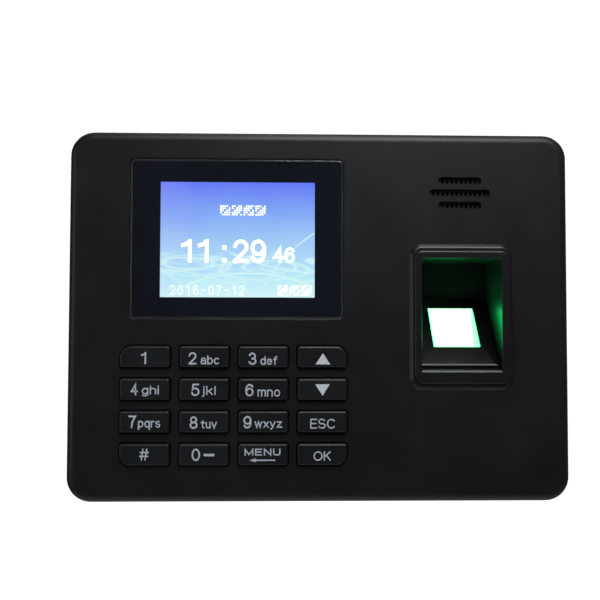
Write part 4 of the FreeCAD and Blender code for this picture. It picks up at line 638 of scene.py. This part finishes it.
# legends: text, its left and right ends, base line and height in mm from the middle of the key, and stroke
DIGIT, SMALL, CAPITAL = 0.62, 0.46, 0.46
LEGENDS = {
    "key_1": [("1", -1.3, 0.6, -2.7, 4.4, DIGIT)],
    "key_2": [("2", -5.6, -2.7, -2.8, 4.5, DIGIT), ("abc", -1.3, 5.4, -2.75, 3.35, SMALL)],
    "key_3": [("3", -5.4, -2.5, -2.9, 4.5, DIGIT), ("def", -1.1, 5.1, -2.9, 3.15, SMALL)],
    "key_4": [("4", -4.9, -2.3, -2.1, 4.2, DIGIT), ("ghi", -0.9, 5.3, -1.8, 3.2, SMALL)],
    "key_5": [("5", -4.6, -1.6, -2.4, 4.5, DIGIT), ("jkl", -0.7, 4.3, -1.95, 3.15, SMALL)],
    "key_6": [("6", -6.5, -3.5, -2.5, 4.5, DIGIT), ("mno", -2.1, 6.2, -2.6, 3.5, SMALL)],
    "key_7": [("7", -5.6, -2.8, -2.1, 4.5, DIGIT), ("pqrs", -2.2, 5.9, -2.0, 3.4, SMALL)],
    "key_8": [("8", -5.1, -2.2, -2.4, 4.5, DIGIT), ("tuv", -1.0, 4.8, -2.3, 3.2, SMALL)],
    "key_9": [("9", -7.2, -4.2, -2.3, 4.5, DIGIT), ("wxyz", -3.1, 6.9, -2.05, 3.15, SMALL)],
    "key_hash": [("#", -1.6, 1.9, -1.9, 4.2, 0.5)],
    "key_0": [("0", -4.3, -1.2, -2.2, 4.5, DIGIT)],
    "key_esc": [("ESC", -4.4, 4.6, -2.4, 3.6, CAPITAL)],
    "key_ok": [("OK", -3.2, 3.1, -2.2, 3.45, CAPITAL)],
    "key_menu": [("MENU", -6.7, 6.4, -0.25, 2.5, CAPITAL)],
}
SYMBOLS = {
    "key_0": [bar(0.1, 3.9, -0.5, 0.4)],
    "key_up": [[(-2.5, -2.7), (2.9, -2.7), (0.2, 1.4)]],
    "key_down": [[(-2.6, 1.9), (0.1, -2.3), (2.7, 1.9)]],
    "key_menu": [[(-5.0, -1.95), (-2.6, -2.65), (-2.6, -1.25)], bar(-2.6, 4.5, -2.2, -1.7)],
}
KEY_ROWS = [
    ["key_1", "key_2", "key_3", "key_up"],
    ["key_4", "key_5", "key_6", "key_down"],
    ["key_7", "key_8", "key_9", "key_esc"],
    ["key_hash", "key_0", "key_menu", "key_ok"],
]


def add_legends():
    """Prints each key's legend, which moves with its key."""
    for row, names in enumerate(KEY_ROWS):
        for column, name in enumerate(names):
            x = KEY_X + (column - 1.5) * KEY_PITCH_X
            z = KEY_Z + (1.5 - row) * KEY_PITCH_Z
            parts = [lettering(text, x + left, x + right, z + base, high, stroke, LEGEND_OUT, LEGEND_THICK)
                     for text, left, right, base, high, stroke in LEGENDS.get(name, [])]
            outlines = [[(x + across, z + up) for across, up in outline] for outline in SYMBOLS.get(name, [])]
            if outlines:
                parts.append(polygon_mesh(outlines, LEGEND_OUT, LEGEND_THICK))
            ink = LEGEND_INK if name in LEGENDS else ARROW_INK
            add_mesh("legend_" + name.removeprefix("key_"), join(parts), ink, name)


def add_picture_text():
    """The digits of the clock and date, and plain blocks where words would be."""
    thick = 0.02

    def digits(text, left, right, base, high, stroke):
        return lettering(text, SCREEN_X + left, SCREEN_X + right, SCREEN_Z + base, high, stroke,
                         PICTURE_OUT, thick)

    clock = [digits("11", -21.0, -10.8, -8.7, 8.8, 1.35), digits("29", -1.6, 10.6, -8.7, 8.8, 1.35),
             digits("46", 13.2, 21.3, -8.6, 5.8, 0.95)]
    colon = [bar(-5.7, -4.1, -8.5, -6.9), bar(-5.7, -4.1, -3.8, -2.2)]
    side, pitch = 4.0, 4.4
    words = []
    for step in range(4):
        words += speckled_block(-6.6 + pitch * step, 9.1, side, step)
    for step in range(3):
        words += speckled_block(15.0 + pitch * step, -20.8, side, step + 1)
    outlines = [[(SCREEN_X + x, SCREEN_Z + z) for x, z in outline] for outline in colon + words]
    clock.append(polygon_mesh(outlines, PICTURE_OUT, thick))
    add_mesh("picture_clock", join(clock), PIXEL_WHITE)

    date_left, date_pitch, date_wide = -25.0, 2.85, 2.0
    narrower = {"-": 0.3, "1": 0.5}
    date = []
    for step, sign in enumerate("2016-07-12"):
        left = date_left + date_pitch * step
        inset = narrower.get(sign, 0.0)
        date.append(digits(sign, left + inset, left + date_wide - inset, -20.7, 3.6, 0.35))
    add_mesh("picture_date", join(date), PIXEL_PALE)


def speckled_block(left, bottom, side, turn):
    """A square of small squares with one in five left out, which reads as no letter."""
    count, filled = 5, 0.72
    pitch = side / count
    return [bar(left + pitch * column, left + pitch * (column + filled), bottom + pitch * row,
                bottom + pitch * (row + filled))
            for column in range(count) for row in range(count) if (2 * row + 3 * column + turn) % 5]


# --- camera, lights and stage -----------------------------------------------------------------

def add_camera():
    """The camera of the photograph: nearly square to the face, a little left of its middle."""
    data = bpy.data.cameras.new("camera")
    data.lens = 42.29
    data.sensor_width = 36.0
    data.clip_start = 0.01
    camera = bpy.data.objects.new("camera", data)
    place = (-0.01355, -0.2955, -0.0032)
    level, turn, tilt, roll = 90.0, -1.340, 1.995, 0.140
    camera.matrix_world = (Matrix.Translation(place)
                           @ Matrix.Rotation(math.radians(level), 4, "X")
                           @ Matrix.Rotation(math.radians(turn), 4, "Y")
                           @ Matrix.Rotation(math.radians(tilt), 4, "X")
                           @ Matrix.Rotation(math.radians(roll), 4, "Z"))
    bpy.context.scene.collection.objects.link(camera)
    bpy.context.scene.camera = camera


def add_area_light(name, place, aim, wide, high, power):
    data = bpy.data.lights.new(name, "AREA")
    data.shape = "RECTANGLE"
    data.size, data.size_y = wide, high
    data.energy = power
    data.color = (0.94, 0.96, 1.0)
    light = bpy.data.objects.new(name, data)
    light.location = place
    light.rotation_euler = (Vector(aim) - Vector(place)).to_track_quat("-Z", "Y").to_euler()
    bpy.context.scene.collection.objects.link(light)


def add_room_light():
    """The dim room round the object."""
    world = bpy.data.worlds.new("world")
    world.use_nodes = True
    nodes, links = world.node_tree.nodes, world.node_tree.links
    split = nodes.new("ShaderNodeSeparateXYZ")
    links.new(nodes.new("ShaderNodeTexCoord").outputs["Generated"], split.inputs[0])
    # the room is brighter behind the object and on its right, and its pale floor brightens what looks down
    strength = 0.030
    for axis, start, end, gain in (("Y", 0.3, 1.0, 0.15), ("X", 0.5, 1.0, 0.06), ("Z", -0.45, -0.95, 0.50)):
        ramp = nodes.new("ShaderNodeMapRange")
        ramp.inputs["From Min"].default_value, ramp.inputs["From Max"].default_value = start, end
        ramp.inputs["To Max"].default_value = gain
        links.new(split.outputs[axis], ramp.inputs["Value"])
        total = nodes.new("ShaderNodeMath")
        total.operation = "ADD"
        links.new(ramp.outputs[0], total.inputs[0])
        if isinstance(strength, float):
            total.inputs[1].default_value = strength
        else:
            links.new(strength, total.inputs[1])
        strength = total.outputs[0]
    background = nodes["Background"]
    background.inputs["Color"].default_value = (0.95, 0.97, 1.0, 1.0)
    links.new(strength, background.inputs["Strength"])
    bpy.context.scene.world = world


def add_stage():
    """A pale floor below and white all round. They light nothing, and glass shows the floor alone."""
    floor_look = Surface("floor_look", Roughness=0.9, Emission_Strength=1.0)
    speckle = floor_look.noise(60.0, detail=3.0)
    floor_look.feed("Base Color", floor_look.ramp(speckle, [(0.3, *grey(0.78)), (0.7, *grey(0.82))]))
    floor_look.feed("Emission Color", floor_look.ramp(speckle, [(0.3, *grey(0.97)), (0.7, *grey(1.0))]))
    dome_look = Surface("dome_look", Emission_Strength=1.0, Emission_Color=(1.0, 1.0, 1.0, 1.0))

    floor_mesh = bpy.data.meshes.new("floor")
    floor_mesh.from_pydata([(-8, -8, -0.4), (8, -8, -0.4), (8, 8, -0.4), (-8, 8, -0.4)], [], [(0, 1, 2, 3)])
    dome_mesh = bpy.data.meshes.new("dome")
    work = bmesh.new()
    bmesh.ops.create_uvsphere(work, u_segments=48, v_segments=24, radius=7.0)
    work.to_mesh(dome_mesh)
    work.free()
    for name, mesh, look in (("floor", floor_mesh, floor_look), ("dome", dome_mesh, dome_look)):
        mesh.materials.append(look.material)
        thing = bpy.data.objects.new(name, mesh)
        bpy.context.scene.collection.objects.link(thing)
        thing.visible_diffuse = False
        thing.visible_glossy = False
        thing.visible_transmission = name == "floor"
        thing.visible_shadow = False


def add_lights():
    """Softboxes high in front and behind, and strips above and on the left for the edges."""
    add_area_light("softbox_front", (0.18, -0.66, 0.82), (0.02, -0.03, 0.03), 0.50, 0.50, 7.6)
    add_area_light("strip_above", (0.05, 0.02, 1.0), (0.0, -0.03, 0.0), 0.70, 0.20, 1.2)
    add_area_light("strip_left", (-0.88, -0.50, 0.05), (-0.08, -0.03, 0.0), 0.26, 0.60, 1.0)
    add_area_light("softbox_behind", (-0.35, 0.8, 0.45), (0.0, 0.0, 0.0), 0.6, 0.5, 7.0)
    add_area_light("softbox_behind_right", (0.7, 0.8, 0.35), (0.0, 0.0, 0.0), 0.4, 0.5, 0.7)


bpy.context.scene.view_settings.view_transform = "Standard"
paint_cad_nodes()
add_window_print()
add_platen_glow()
add_legends()
add_picture_text()
add_camera()
add_room_light()
add_stage()
add_lights()
